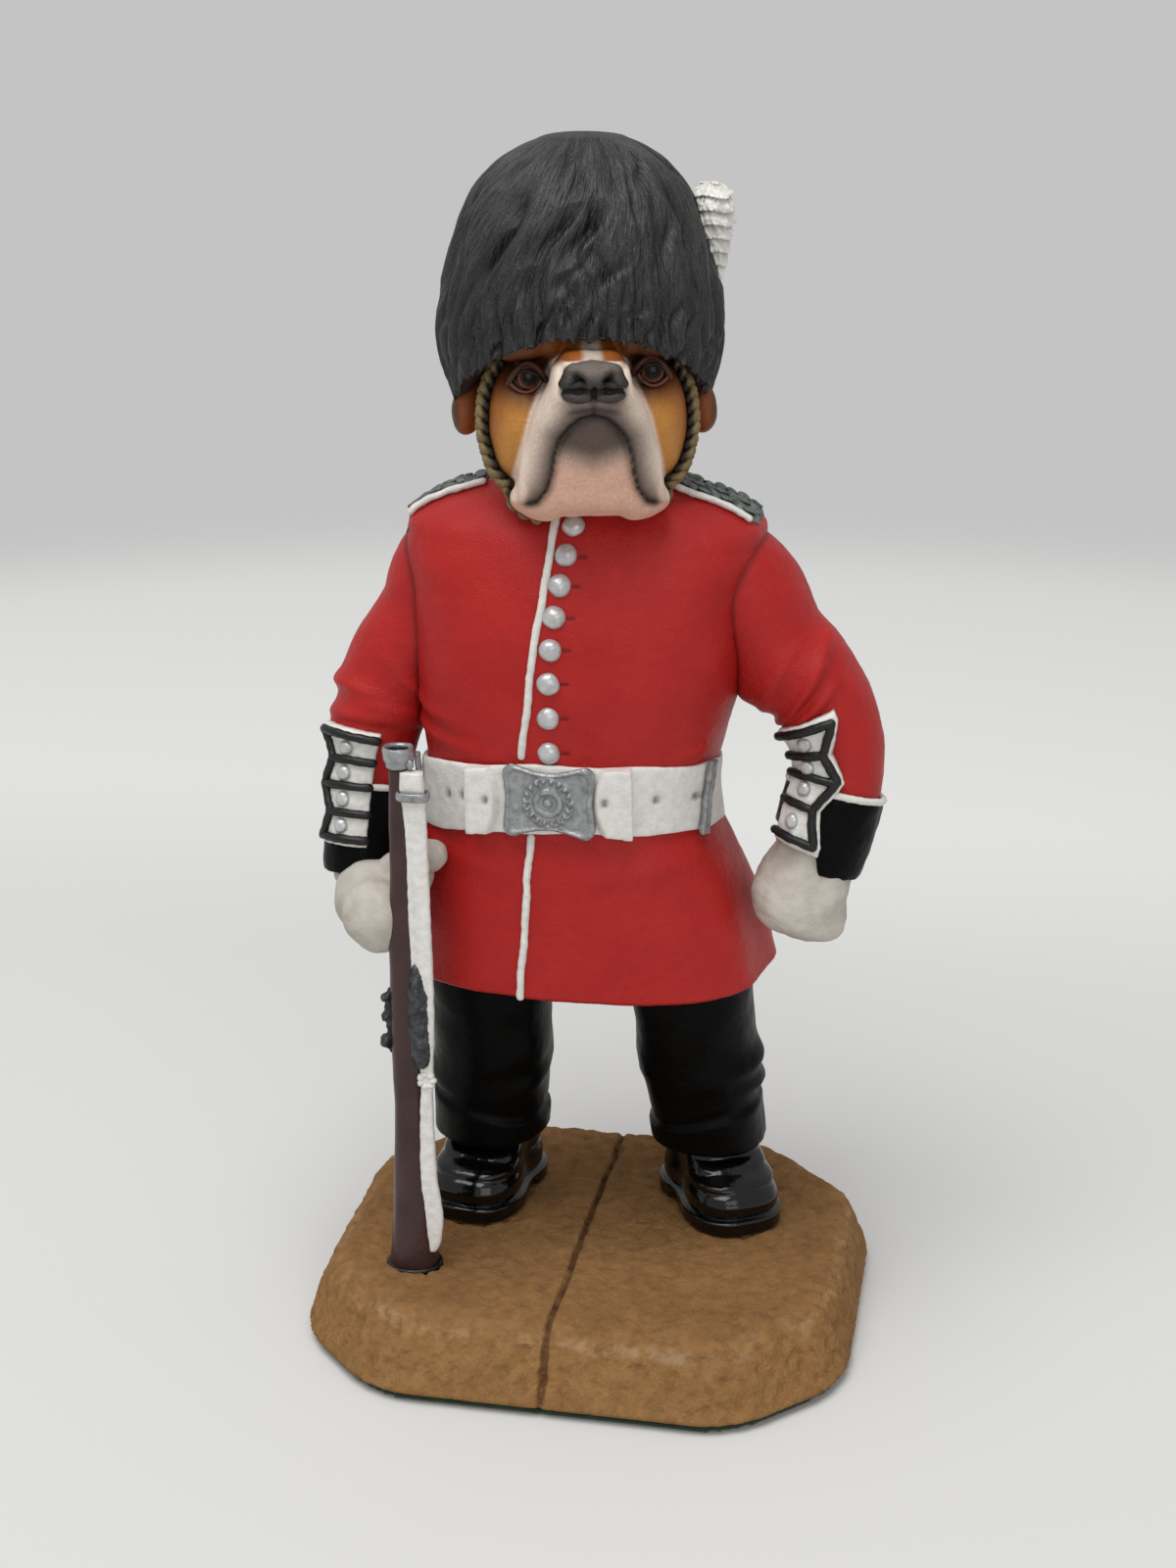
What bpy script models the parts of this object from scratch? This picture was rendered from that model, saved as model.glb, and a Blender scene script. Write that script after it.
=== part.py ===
"""Standing dog figurine in a foot guard's dress uniform: painted cast resin on a paving-slab base.

Every size below is in millimetres and MM turns it into Blender's metres. +Z is up and the dog
faces -Y. The origin is the middle of the felt's underside. "Left" and "right" are the dog's own.
"""

import math

import bmesh
import bpy
import numpy as np
from mathutils import Matrix, Vector
from mathutils.bvhtree import BVHTree

MM = 0.001
CLEARANCE = 0.3  # glue gap between neighbouring castings

# Base: an eight-sided paving slab with a joint line down its middle, felt underneath.
BASE_WIDTH = 66.4
BASE_DEPTH = 58.8
BASE_HEIGHT = 9.0
BASE_CORNER = 12.0  # cut off each corner, along both sides
BASE_FRONT_SLOPE = 5.6  # how far the top edge stands back from the foot at the front
BASE_SIDE_SLOPE = 2.4
BASE_EDGE_ROUND = 2.6
BASE_CORNER_ROUND = 4.5
FELT_THICKNESS = 0.8
FELT_INSET = 0.5
JOINT_LINE_X = -1.0
JOINT_LINE_WIDTH = 1.3
JOINT_LINE_DEPTH = 0.8

# Where the figure stands on the slab, and the heights of its parts above the slab.
FIGURE_X = -2.5
FIGURE_Y = 5.0
HEM_HEIGHT = 34.2
HEM_HALF_WIDTH = 22.5
WAIST_HEIGHT = 55.8
WAIST_HALF_WIDTH = 16.4
CHEST_HEIGHT = 73.0
CHEST_HALF_WIDTH = 19.2
CHEST_HALF_DEPTH = 14.4
SHOULDER_HEIGHT = 86.0
SHOULDER_FLARE = 1.4  # wider than the chest, on each side
SHOULDER_HALF_WIDTH = CHEST_HALF_WIDTH + SHOULDER_FLARE
NECK_RISE = 6.2  # of the neck over the shoulders
NECK_HEIGHT = SHOULDER_HEIGHT + NECK_RISE
NECK_HALF_WIDTH = 11.5
COLLAR_RISE = 2.4
COLLAR_HEIGHT = NECK_HEIGHT + COLLAR_RISE

# Legs and boots
LEG_HALF_WIDTH = 7.8
TROUSER_HEM = 8.6
LEG_PLUG = 6.0  # how far each leg reaches up into the tunic
BOOT_HALF_WIDTH = 6.3
BOOT_TOE = 11.6  # ankle to toe cap
BOOT_HEEL = 7.4
SOLE_THICKNESS = 1.8
WELT = 0.55
PEG_RADIUS = 2.0
PEG_LENGTH = 4.0

# Belt
BELT_WIDTH = 8.2
BELT_THICKNESS = 0.8
BELT_FRONT_RISE = 3.1  # the belt rides up over the belly
BUCKLE_WIDTH = 11.4
BUCKLE_HEIGHT = 9.2
BUCKLE_WAIST = 6.8  # its height in the middle
BUCKLE_THICKNESS = 1.5
KEEPER_WIDTH = 1.4
KEEPER_THICKNESS = 0.7

# Trim
BUTTON_RADIUS = 1.25
BUTTON_HEIGHT = 1.0
PIPING_RADIUS = 0.5
EPAULETTE_HALF_DEPTH = 3.9
EPAULETTE_THICKNESS = 0.8
CUFF_THICKNESS = 0.5
SLASH_THICKNESS = 0.6
BRAID_THICKNESS = 0.45
BRAID_WIDTH = 0.7
CUFF_BUTTON_RADIUS = 0.78

# Head, in a frame at the middle of the skull
HEAD_X = 0.2
HEAD_RISE = 8.4  # of the middle of the skull over the collar
HEAD_HEIGHT = COLLAR_HEIGHT + HEAD_RISE
HEAD_TURN = 14.0  # degrees, toward the dog's left
NECK_PEG_RADIUS = 6.0
EYE_RADIUS = 1.5
NOSE_HALF_WIDTH = 4.1
CAP_TOP = 27.7
CAP_HALF_WIDTH = 15.6
CAP_RIM = -1.3  # height of the rim at the sides
CAP_RIM_RISE = 8.5  # how much higher it is over the muzzle
CAP_LEAN = 0.3  # the crown sits off the middle, toward the dog's left
CAP_BACK_DROP = 2.4  # how much lower the rim is at the nape
CAP_LOCKS = 16
PLUME_HEIGHT = 12.8
PLUME_TUFTS = 7
CHAIN_HALF_WIDTH = 1.05
CHAIN_HALF_THICKNESS = 0.75

# Rifle, in a frame at the middle of its butt
RIFLE_X = -19.8
RIFLE_Y = -12.5
RIFLE_LENGTH = 65.0
RIFLE_SOCKET = 2.0
MUZZLE_RADIUS = 1.7
MUZZLE_HEIGHT = 4.2
BORE_RADIUS = 1.15
SLING_THICKNESS = 1.1


def new_collection(name):
    made = bpy.data.collections.new(name)
    bpy.context.scene.collection.children.link(made)
    return made


for old in list(bpy.data.objects):
    bpy.data.objects.remove(old, do_unlink=True)
PARTS = new_collection("guard_dog_figurine")
CUTTERS = new_collection("cutters")


def paint(name, colour, roughness, metallic=0.0):
    """A coat of paint, its colour given as sRGB 0-255."""
    made = bpy.data.materials.new(name)
    made.use_nodes = True
    surface = made.node_tree.nodes["Principled BSDF"]
    linear = [(c / 255 / 12.92) if c <= 10 else ((c / 255 + 0.055) / 1.055) ** 2.4 for c in colour]
    surface.inputs["Base Color"].default_value = (*linear, 1.0)
    surface.inputs["Roughness"].default_value = roughness
    surface.inputs["Metallic"].default_value = metallic
    made.diffuse_color = (*linear, 1.0)
    return made


STONE = paint("slab_tan", (166, 120, 66), 0.85)
FELT = paint("felt_green", (38, 74, 42), 0.95)
SCARLET = paint("tunic_scarlet", (186, 30, 38), 0.55)
BLACK_CLOTH = paint("trouser_black", (24, 24, 25), 0.5)
BLACK_GLOSS = paint("boot_black", (12, 12, 13), 0.15)
WHITE = paint("white_trim", (226, 224, 220), 0.6)
SILVER = paint("silver_trim", (168, 169, 172), 0.4, 0.6)
GREY = paint("epaulette_grey", (112, 116, 118), 0.5, 0.3)
FAWN = paint("coat_fawn", (190, 116, 44), 0.5)
DARK_NOSE = paint("nose_black", (48, 46, 47), 0.4)
EYE_BROWN = paint("eye_brown", (44, 20, 14), 0.08)
BEARSKIN = paint("bearskin_black", (42, 43, 45), 0.8)
GOLD_CORD = paint("chain_gold", (148, 118, 62), 0.6)
MAROON = paint("stock_maroon", (58, 26, 24), 0.4)
GUNMETAL = paint("action_grey", (92, 93, 95), 0.4, 0.5)


def add(name, mesh, coat, parent=None, collection=PARTS):
    """An object for this mesh, in the frame of its parent."""
    obj = bpy.data.objects.new(name, mesh)
    collection.objects.link(obj)
    obj.parent = parent
    if coat:
        mesh.materials.append(coat)
    if collection is CUTTERS:
        obj.hide_render = True
        obj.display_type = "WIRE"
    return obj


def frame(name, place, turn=(0, 0, 0), parent=None):
    """An empty that carries the parts of one sub-assembly."""
    obj = bpy.data.objects.new(name, None)
    obj.location = Vector(place) * MM
    obj.rotation_euler = [math.radians(angle) for angle in turn]
    obj.parent = parent
    PARTS.objects.link(obj)
    return obj


def to_mesh(name, bm):
    bmesh.ops.recalc_face_normals(bm, faces=bm.faces)
    mesh = bpy.data.meshes.new(name)
    bm.to_mesh(mesh)
    bm.free()
    return mesh


def skin(name, rings):
    """A closed skin through rings of equally many points, flat at both ends."""
    bm = bmesh.new()
    loops = [[bm.verts.new(Vector(point) * MM) for point in ring] for ring in rings]
    for low, high in zip(loops, loops[1:]):
        for i in range(len(low)):
            bm.faces.new((low[i - 1], low[i], high[i], high[i - 1]))
    bm.faces.new(loops[0])
    bm.faces.new(loops[-1])
    return to_mesh(name, bm)


def slab(name, inner, outer, ring=False):
    """A closed sheet between two grids of points. A ring's rows join end to end."""
    bm = bmesh.new()
    sides = [[[bm.verts.new(Vector(p) * MM) for p in row] for row in grid] for grid in (inner, outer)]
    rows = len(inner)
    columns = len(inner[0])
    for below, above in ((a, a + 1) for a in range(rows - 1)):
        for j in range(0 if ring else 1, columns):
            for side in sides:
                bm.faces.new((side[below][j - 1], side[below][j], side[above][j], side[above][j - 1]))
    for j in range(0 if ring else 1, columns):
        for i in (0, rows - 1):
            bm.faces.new((sides[0][i][j - 1], sides[0][i][j], sides[1][i][j], sides[1][i][j - 1]))
    if not ring:
        for i in range(1, rows):
            for j in (0, columns - 1):
                bm.faces.new((sides[0][i - 1][j], sides[0][i][j], sides[1][i][j], sides[1][i - 1][j]))
    return to_mesh(name, bm)


def smooth_rows(stations, at):
    """Rows of a table read at other values of its first column, on a smooth curve through them."""
    table = np.array(stations, float)
    key, rows = table[:, 0], table[:, 1:]
    slope = np.gradient(rows, key, axis=0)
    at = np.atleast_1d(np.asarray(at, float))
    k = np.clip(np.searchsorted(key, at) - 1, 0, len(key) - 2)
    span = (key[k + 1] - key[k])[:, None]
    t = (at[:, None] - key[k][:, None]) / span
    blend = t * t * (3 - 2 * t)
    ease_in = t * (1 - t) ** 2
    ease_out = t * t * (t - 1)
    return rows[k] * (1 - blend) + rows[k + 1] * blend + span * (slope[k] * ease_in + slope[k + 1] * ease_out)


def rounded(angle, half_width, half_depth, power):
    """A point of a squarish oval: power 2 is an ellipse."""
    c, s = math.cos(angle), math.sin(angle)
    reach = (abs(c) ** power + abs(s) ** power) ** (-1 / power)
    return half_width * reach * c, half_depth * reach * s


def around(count):
    return [2 * math.pi * i / count for i in range(count)]


def oval_loft(name, stations, heights, count, power=2.0):
    """A skin of level ovals. A station is height, half width, half depth, middle x, middle y."""
    rings = []
    for z, (half_width, half_depth, x, y) in zip(heights, smooth_rows(stations, heights)):
        flat = [rounded(angle, half_width, half_depth, power) for angle in around(count)]
        rings.append([(x + a, y + b, z) for a, b in flat])
    return skin(name, rings)


def ball(bm, place, radii, tilt=(0, 0, 0), fine=2):
    """One lump of clay: an ellipsoid in a bmesh."""
    turn = Matrix.Identity(4)
    for axis, angle in zip("XYZ", tilt):
        turn = Matrix.Rotation(math.radians(angle), 4, axis) @ turn
    shape = Matrix.Translation(Vector(place) * MM) @ turn @ Matrix.Diagonal((*(Vector(radii) * MM), 1))
    bmesh.ops.create_icosphere(bm, subdivisions=fine, radius=1.0, matrix=shape)


def blend_clay(obj, voxel, smoothing, keep):
    """Fuses the lumps of an object into one smooth body and thins its faces out."""
    fuse = obj.modifiers.new("fuse", "REMESH")
    fuse.mode = "VOXEL"
    fuse.voxel_size = voxel * MM
    soften = obj.modifiers.new("soften", "SMOOTH")
    soften.factor = 0.5
    soften.iterations = smoothing
    thin = obj.modifiers.new("thin", "DECIMATE")
    thin.ratio = keep


def combine(obj, other, operation):
    boolean = obj.modifiers.new(operation.lower() + "_" + other.name, "BOOLEAN")
    boolean.operation = operation
    boolean.solver = "EXACT"
    boolean.object = other


def clear(obj, *neighbours, gap=CLEARANCE):
    """Cuts from an object the room that its neighbours need, with a glue gap all round them."""
    for neighbour in neighbours:
        room = neighbour.copy()
        room.name = obj.name + "_room_for_" + neighbour.name
        for collection in list(room.users_collection):
            collection.objects.unlink(room)
        CUTTERS.objects.link(room)
        room.hide_render = True
        room.display_type = "WIRE"
        grow = room.modifiers.new("grow", "DISPLACE")
        grow.mid_level = 0.0
        grow.strength = gap * MM
        combine(obj, room, "DIFFERENCE")


def peg(name, start, end, radius, parent):
    """A round locating peg between two points."""
    start, end = Vector(start), Vector(end)
    bm = bmesh.new()
    turn = (end - start).to_track_quat("Z", "Y").to_matrix().to_4x4()
    place = Matrix.Translation((start + end) / 2 * MM) @ turn
    bmesh.ops.create_cone(
        bm, cap_ends=True, segments=12, radius1=radius * MM, radius2=radius * MM,
        depth=(end - start).length * MM, matrix=place,
    )
    return add(name, to_mesh(name, bm), None, parent, CUTTERS)


def tube(name, points, radius, sides=6):
    """A round bead along points that run across the front."""
    path = np.array(points, float)
    ahead = np.gradient(path, axis=0)
    rings = []
    for point, way in zip(path, ahead):
        way = Vector(way).normalized()
        across = way.cross(Vector((0, 1, 0))).normalized()
        up = across.cross(way)
        spokes = [math.cos(a) * across + math.sin(a) * up for a in around(sides)]
        rings.append([Vector(point) + radius * spoke for spoke in spokes])
    return skin(name, rings)


# The slab that the figure stands on: sloped sides, rounded edges, a joint line sawn across it.
def slab_corners(half_width, front, back, corner, z):
    quarter = [(half_width, front + corner), (half_width, back - corner), (half_width - corner, back)]
    right = [(half_width - corner, front), *quarter]
    left = [(-x, y) for x, y in reversed(right)]
    return [(x, y, z) for x, y in right + left]


half_width = BASE_WIDTH / 2
half_depth = BASE_DEPTH / 2
foot = slab_corners(half_width, -half_depth, half_depth, BASE_CORNER, FELT_THICKNESS + CLEARANCE)
top = slab_corners(
    half_width - BASE_SIDE_SLOPE, BASE_FRONT_SLOPE - half_depth, half_depth - BASE_SIDE_SLOPE,
    BASE_CORNER, BASE_HEIGHT,
)
base = add("base", skin("base", [foot, top]), STONE)
weights = base.data.attributes.new("bevel_weight_edge", "FLOAT", "EDGE")
for edge in base.data.edges:
    high_ends = sum(base.data.vertices[i].co.z > BASE_HEIGHT * MM / 2 for i in edge.vertices)
    weights.data[edge.index].value = (0.0, 1.0, BASE_EDGE_ROUND / BASE_CORNER_ROUND)[high_ends]
soft_edges = base.modifiers.new("soft_edges", "BEVEL")
soft_edges.limit_method = "WEIGHT"
soft_edges.width = BASE_CORNER_ROUND * MM
soft_edges.segments = 3
joint_line = add(
    "joint_line",
    skin("joint_line", [
        [
            (JOINT_LINE_X + side * JOINT_LINE_WIDTH / 2, y, z)
            for side, z in ((-1, high), (0, low), (1, high))
        ]
        for y, low, high in (
            (-half_depth - 3, -1, 3),
            (-half_depth + BASE_FRONT_SLOPE * 0.15, 0, BASE_HEIGHT / 3),
            (-half_depth + BASE_FRONT_SLOPE, BASE_HEIGHT - 2 * JOINT_LINE_DEPTH, BASE_HEIGHT + 1),
            (-half_depth + BASE_FRONT_SLOPE + 4, BASE_HEIGHT - JOINT_LINE_DEPTH, BASE_HEIGHT + 1),
            (half_depth + 3, BASE_HEIGHT - JOINT_LINE_DEPTH, BASE_HEIGHT + 1),
        )
    ]),
    None, None, CUTTERS,
)
combine(base, joint_line, "DIFFERENCE")

felt_corners = slab_corners(
    half_width - FELT_INSET, FELT_INSET - half_depth, half_depth - FELT_INSET, BASE_CORNER, 0.0
)
felt_top = [(x, y, FELT_THICKNESS) for x, y, _ in felt_corners]
felt = add("felt_pad", skin("felt_pad", [felt_corners, felt_top]), FELT)
weights = felt.data.attributes.new("bevel_weight_edge", "FLOAT", "EDGE")
for edge in felt.data.edges:
    high_ends = sum(felt.data.vertices[i].co.z > FELT_THICKNESS * MM / 2 for i in edge.vertices)
    weights.data[edge.index].value = (0.0, 1.0, 0.0)[high_ends]
soft_corners = felt.modifiers.new("soft_corners", "BEVEL")
soft_corners.limit_method = "WEIGHT"
soft_corners.width = BASE_CORNER_ROUND * MM
soft_corners.segments = 4

figure = frame("figure", (FIGURE_X, FIGURE_Y, BASE_HEIGHT + CLEARANCE))


# Tunic: level ovals from the flared hem up to a low collar.
TUNIC_POWER = 2.5
TUNIC = [
    # height, half width, half depth, middle x, middle y
    (HEM_HEIGHT, HEM_HALF_WIDTH, 15.6, 0.4, 0.5),
    (42.0, HEM_HALF_WIDTH - 1.6, 15.2, 0.1, 0.3),
    (49.0, WAIST_HALF_WIDTH + 2.4, 14.5, -0.6, 0.0),
    (WAIST_HEIGHT, WAIST_HALF_WIDTH, 13.7, -1.2, 0.0),
    (62.0, WAIST_HALF_WIDTH + 1.0, 14.0, -0.8, -0.2),
    (CHEST_HEIGHT, CHEST_HALF_WIDTH, CHEST_HALF_DEPTH, 0.0, -0.3),
    (80.0, CHEST_HALF_WIDTH + 0.4, 13.7, 0.0, 0.0),
    (SHOULDER_HEIGHT, SHOULDER_HALF_WIDTH, 12.3, 0.4, 0.5),
    (SHOULDER_HEIGHT + 2.6, SHOULDER_HALF_WIDTH - 0.6, 11.4, 0.5, 0.8),
    (SHOULDER_HEIGHT + 4.4, SHOULDER_HALF_WIDTH - 3.8, 10.4, 0.5, 1.0),
    (NECK_HEIGHT, NECK_HALF_WIDTH, 9.4, 0.4, 1.2),
    (COLLAR_HEIGHT, NECK_HALF_WIDTH - 1.6, 8.8, 0.4, 1.2),
]
TUNIC_LEVELS = [
    *np.linspace(HEM_HEIGHT, WAIST_HEIGHT, 6),
    *np.linspace(WAIST_HEIGHT, CHEST_HEIGHT, 5)[1:],
    *np.linspace(CHEST_HEIGHT, SHOULDER_HEIGHT, 4)[1:],
    *np.linspace(SHOULDER_HEIGHT, COLLAR_HEIGHT, 7)[1:],
]


def on_tunic(angle, z, lift=0.0):
    """A point on the tunic at this height, with angle 0 at the dog's left side and -90 in front."""
    half_width, half_depth, x, y = smooth_rows(TUNIC, z)[0]
    a, b = rounded(math.radians(angle), half_width + lift, half_depth + lift, TUNIC_POWER)
    return Vector((x + a, y + b, z))


def front_of(stations, power, x, z, lift=0.0):
    """The point of a loft's front face at this x and height."""
    half_width, half_depth, mid_x, mid_y = smooth_rows(stations, z)[0]
    across = min(abs(x - mid_x) / (half_width + lift), 1.0)
    reach = (half_depth + lift) * (1 - across**power) ** (1 / power)
    return Vector((x, mid_y - reach, z))


def tunic_front(x, z, lift=0.0):
    return front_of(TUNIC, TUNIC_POWER, x, z, lift)


def tunic_normal(x, z):
    """Which way the tunic's front faces there."""
    step = 0.2
    along = tunic_front(x + step, z) - tunic_front(x - step, z)
    up = tunic_front(x, z + step) - tunic_front(x, z - step)
    return along.cross(up).normalized()


tunic = add("tunic", oval_loft("tunic", TUNIC, TUNIC_LEVELS, 32, TUNIC_POWER), SCARLET, figure)
tunic_form = add("tunic_form", tunic.data, None, figure, CUTTERS)


# Boots: a slab sole with a welt, a round toe cap and an ankle that the trouser leg covers.
def boot(name, ankle, turn):
    stand = frame(name + "_stand", (*ankle, 0.0), (0, 0, turn), figure)
    upper = BOOT_HALF_WIDTH - WELT
    stations = [
        # height, toe, heel, half width
        (0.0, BOOT_TOE, BOOT_HEEL, BOOT_HALF_WIDTH),
        (SOLE_THICKNESS, BOOT_TOE, BOOT_HEEL, BOOT_HALF_WIDTH),
        (SOLE_THICKNESS + 0.1, BOOT_TOE - WELT, BOOT_HEEL - WELT, upper),
        (4.0, BOOT_TOE - WELT - 0.1, BOOT_HEEL - WELT, upper),
        (5.6, BOOT_TOE - 1.7, BOOT_HEEL - WELT - 0.2, upper - 0.4),
        (6.7, BOOT_TOE - 3.6, BOOT_HEEL - WELT - 0.3, upper - 0.7),
        (7.8, BOOT_TOE - 5.6, BOOT_HEEL - WELT - 0.5, upper - 1.0),
        (TROUSER_HEM + 3.0, BOOT_TOE - 6.4, BOOT_HEEL - WELT - 0.9, upper - 1.3),
    ]
    rings = []
    for z, toe, heel, half in stations:
        ring = []
        for angle in around(20):
            x, y = rounded(angle, half, (toe + heel) / 2, 2.5)
            waist = 1.0 - 0.13 * math.exp(-(((y - 1.0) / 3.0) ** 2))
            ring.append((x * waist, y + (heel - toe) / 2, z))
        rings.append(ring)
    made = add(name, skin(name, rings), BLACK_GLOSS, stand)
    notch = add(
        name + "_heel_notch",
        skin(name + "_heel_notch", [
            [(x, y, z) for y, z in ((0.6, -1), (2.6, -1), (2.6, 0.9), (0.6, 0.9))] for x in (-9, 9)
        ]),
        None, stand, CUTTERS,
    )
    combine(made, notch, "DIFFERENCE")
    pin = peg(name + "_peg", (0, 5.0, 1.0), (0, 5.0, -PEG_LENGTH), PEG_RADIUS, stand)
    combine(made, pin, "UNION")
    clear(base, pin)
    return made


LEFT_ANKLE = (15.7, 5.6)
RIGHT_ANKLE = (-12.2, 3.6)
left_boot = boot("left_boot", LEFT_ANKLE, 32.0)
right_boot = boot("right_boot", RIGHT_ANKLE, -10.0)


# Trouser legs: plugged into the tunic, creased above the hem, sitting over the boots.
def trouser_leg(name, hip, ankle, boot_below):
    top = HEM_HEIGHT + LEG_PLUG
    levels = np.linspace(TROUSER_HEM, top, 14)
    rings = []
    for z in levels:
        t = (z - TROUSER_HEM) / (top - TROUSER_HEM)
        half = LEG_HALF_WIDTH * (0.85 + 0.17 * t)
        x = ankle[0] + (hip[0] - ankle[0]) * t
        y = ankle[1] + (hip[1] - ankle[1]) * t
        ring = []
        for angle in around(16):
            wander = 1.9 * math.sin(angle + ankle[0]) + 0.9 * math.sin(2 * angle + 1)
            sag = 0.5 * math.sin(z * 0.95 + wander) * math.exp(-(((z - 14) / 6.0) ** 2))
            a, b = rounded(angle, half + sag, half * 1.06 + sag, 2.2)
            ring.append((x + a, y + b, z))
        rings.append(ring)
    made = add(name, skin(name, rings), BLACK_CLOTH, figure)
    clear(made, boot_below)
    clear(tunic, made)
    return made


left_leg = trouser_leg("left_trouser_leg", (11.8, 2.0), (LEFT_ANKLE[0] - 0.6, LEFT_ANKLE[1]), left_boot)
right_leg = trouser_leg("right_trouser_leg", (-11.6, 1.0), (RIGHT_ANKLE[0], RIGHT_ANKLE[1] - 0.6), right_boot)


# Belt: a flat white strap round the waist, with a plate buckle and two sliding keepers.
def belt_middle(angle):
    """Height of the belt's centre line at this angle round the waist."""
    turn = math.radians(angle)
    return WAIST_HEIGHT - BELT_FRONT_RISE * math.sin(turn) + 0.7 * math.cos(turn)


def belt_band(name, angles, lift, thickness, width, ring):
    grids = []
    for out in (lift, lift + thickness):
        grids.append([
            [on_tunic(angle, belt_middle(angle) + side * width / 2, out) for angle in angles]
            for side in (-1, 1)
        ])
    return slab(name, *grids, ring)


BELT_FACE = CLEARANCE + BELT_THICKNESS
belt = add(
    "belt",
    belt_band("belt", np.arange(0, 360, 10), CLEARANCE, BELT_THICKNESS, BELT_WIDTH, True),
    WHITE, figure,
)
for side, angle in (("left", -27.0), ("right", -155.0)):
    spread = math.degrees(KEEPER_WIDTH / 2 / CHEST_HALF_DEPTH)
    add(
        side + "_belt_keeper",
        belt_band(
            side + "_belt_keeper", np.linspace(angle - spread, angle + spread, 3),
            BELT_FACE + CLEARANCE, KEEPER_THICKNESS, BELT_WIDTH + 0.8, False,
        ),
        SILVER, figure,
    )

# Buckle: a plate with flared corners and a round boss of plain rings.
BUCKLE_X = -0.9
buckle_z = belt_middle(-90.0)
buckle_back = tunic_front(BUCKLE_X, buckle_z, BELT_FACE).y + 0.5
buckle_front = tunic_front(BUCKLE_X, buckle_z, BELT_FACE + CLEARANCE).y - BUCKLE_THICKNESS + 0.6
outline = []
for angle in around(32):
    x, z = rounded(angle, BUCKLE_WIDTH / 2, BUCKLE_HEIGHT / 2, 4.5)
    flare = min(1.0, (x / (0.36 * BUCKLE_WIDTH)) ** 2)
    height = BUCKLE_WAIST + (BUCKLE_HEIGHT - BUCKLE_WAIST) * flare
    outline.append((BUCKLE_X + x, buckle_z + z * height / BUCKLE_HEIGHT))
buckle = add(
    "belt_buckle",
    skin("belt_buckle", [[(x, y, z) for x, z in outline] for y in (buckle_back, buckle_front)]),
    SILVER, figure,
)
clear(buckle, belt)
boss_profile = [(3.1, 0.0), (3.1, 0.35), (2.6, 0.6), (2.1, 0.3), (1.6, 0.3), (1.3, 0.75), (0.5, 0.95)]
boss = add(
    "buckle_boss",
    skin("buckle_boss", [
        [
            (BUCKLE_X + radius * math.cos(a), buckle_front + 0.2 - rise, buckle_z + radius * math.sin(a))
            for a in around(20)
        ]
        for radius, rise in boss_profile
    ]),
    None, figure, CUTTERS,
)
combine(buckle, boss, "UNION")

# Front piping and the single row of eight buttons beside it.
belt_top = belt_middle(-90.0) + BELT_WIDTH / 2 + 2 * CLEARANCE
belt_foot = belt_middle(-90.0) - BELT_WIDTH / 2 - 2 * CLEARANCE
PIPING_TOP = (-0.9, SHOULDER_HEIGHT + 4.0)
PIPING_MIDDLE = (-4.2, belt_top - 0.2)
PIPING_WAIST = (-3.1, WAIST_HEIGHT)
PIPING_HEM = (-4.4, HEM_HEIGHT + 0.4)


def piping(name, low, high):
    corners = (PIPING_HEM, PIPING_WAIST, PIPING_MIDDLE, PIPING_TOP)
    points = []
    for z in np.linspace(low, high, 10):
        x = np.interp(z, [corner[1] for corner in corners], [corner[0] for corner in corners])
        points.append(tunic_front(x, z) + tunic_normal(x, z) * (CLEARANCE / 3 + PIPING_RADIUS))
    return add(name, tube(name, points, PIPING_RADIUS), WHITE, figure)


piping("front_piping_upper", belt_top + PIPING_RADIUS, PIPING_TOP[1])
piping("front_piping_lower", PIPING_HEM[1], belt_foot - PIPING_RADIUS)


def button(name, seat, normal, radius, height, coat, parent):
    """A domed button whose flat back lies on the seat."""
    turn = normal.to_track_quat("Z", "Y")
    rings = []
    for reach, rise in ((1.0, 0.0), (0.98, 0.3), (0.72, 0.8), (0.3, 1.0)):
        wide = reach * radius
        spokes = [(math.cos(a) * wide, math.sin(a) * wide, rise * height) for a in around(8)]
        rings.append([seat + turn @ Vector(spoke) for spoke in spokes])
    return add(name, skin(name, rings), coat, parent)


BUTTON_ROW = 8
BUTTON_LOW = (-1.0, belt_top + BUTTON_RADIUS - 0.45)
BUTTON_HIGH = (1.0, SHOULDER_HEIGHT + 3.4)
for number in range(BUTTON_ROW):
    t = number / (BUTTON_ROW - 1)
    z = BUTTON_HIGH[1] + (BUTTON_LOW[1] - BUTTON_HIGH[1]) * (0.8 * t + 0.2 * t * t)
    x = BUTTON_HIGH[0] + (BUTTON_LOW[0] - BUTTON_HIGH[0]) * math.sin(min(t * 1.25, 1.0) * math.pi / 2)
    normal = tunic_normal(x, z)
    seat = tunic_front(x, z) + normal * CLEARANCE
    button(f"tunic_button_{number + 1}", seat, normal, BUTTON_RADIUS, BUTTON_HEIGHT, SILVER, figure)


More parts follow.
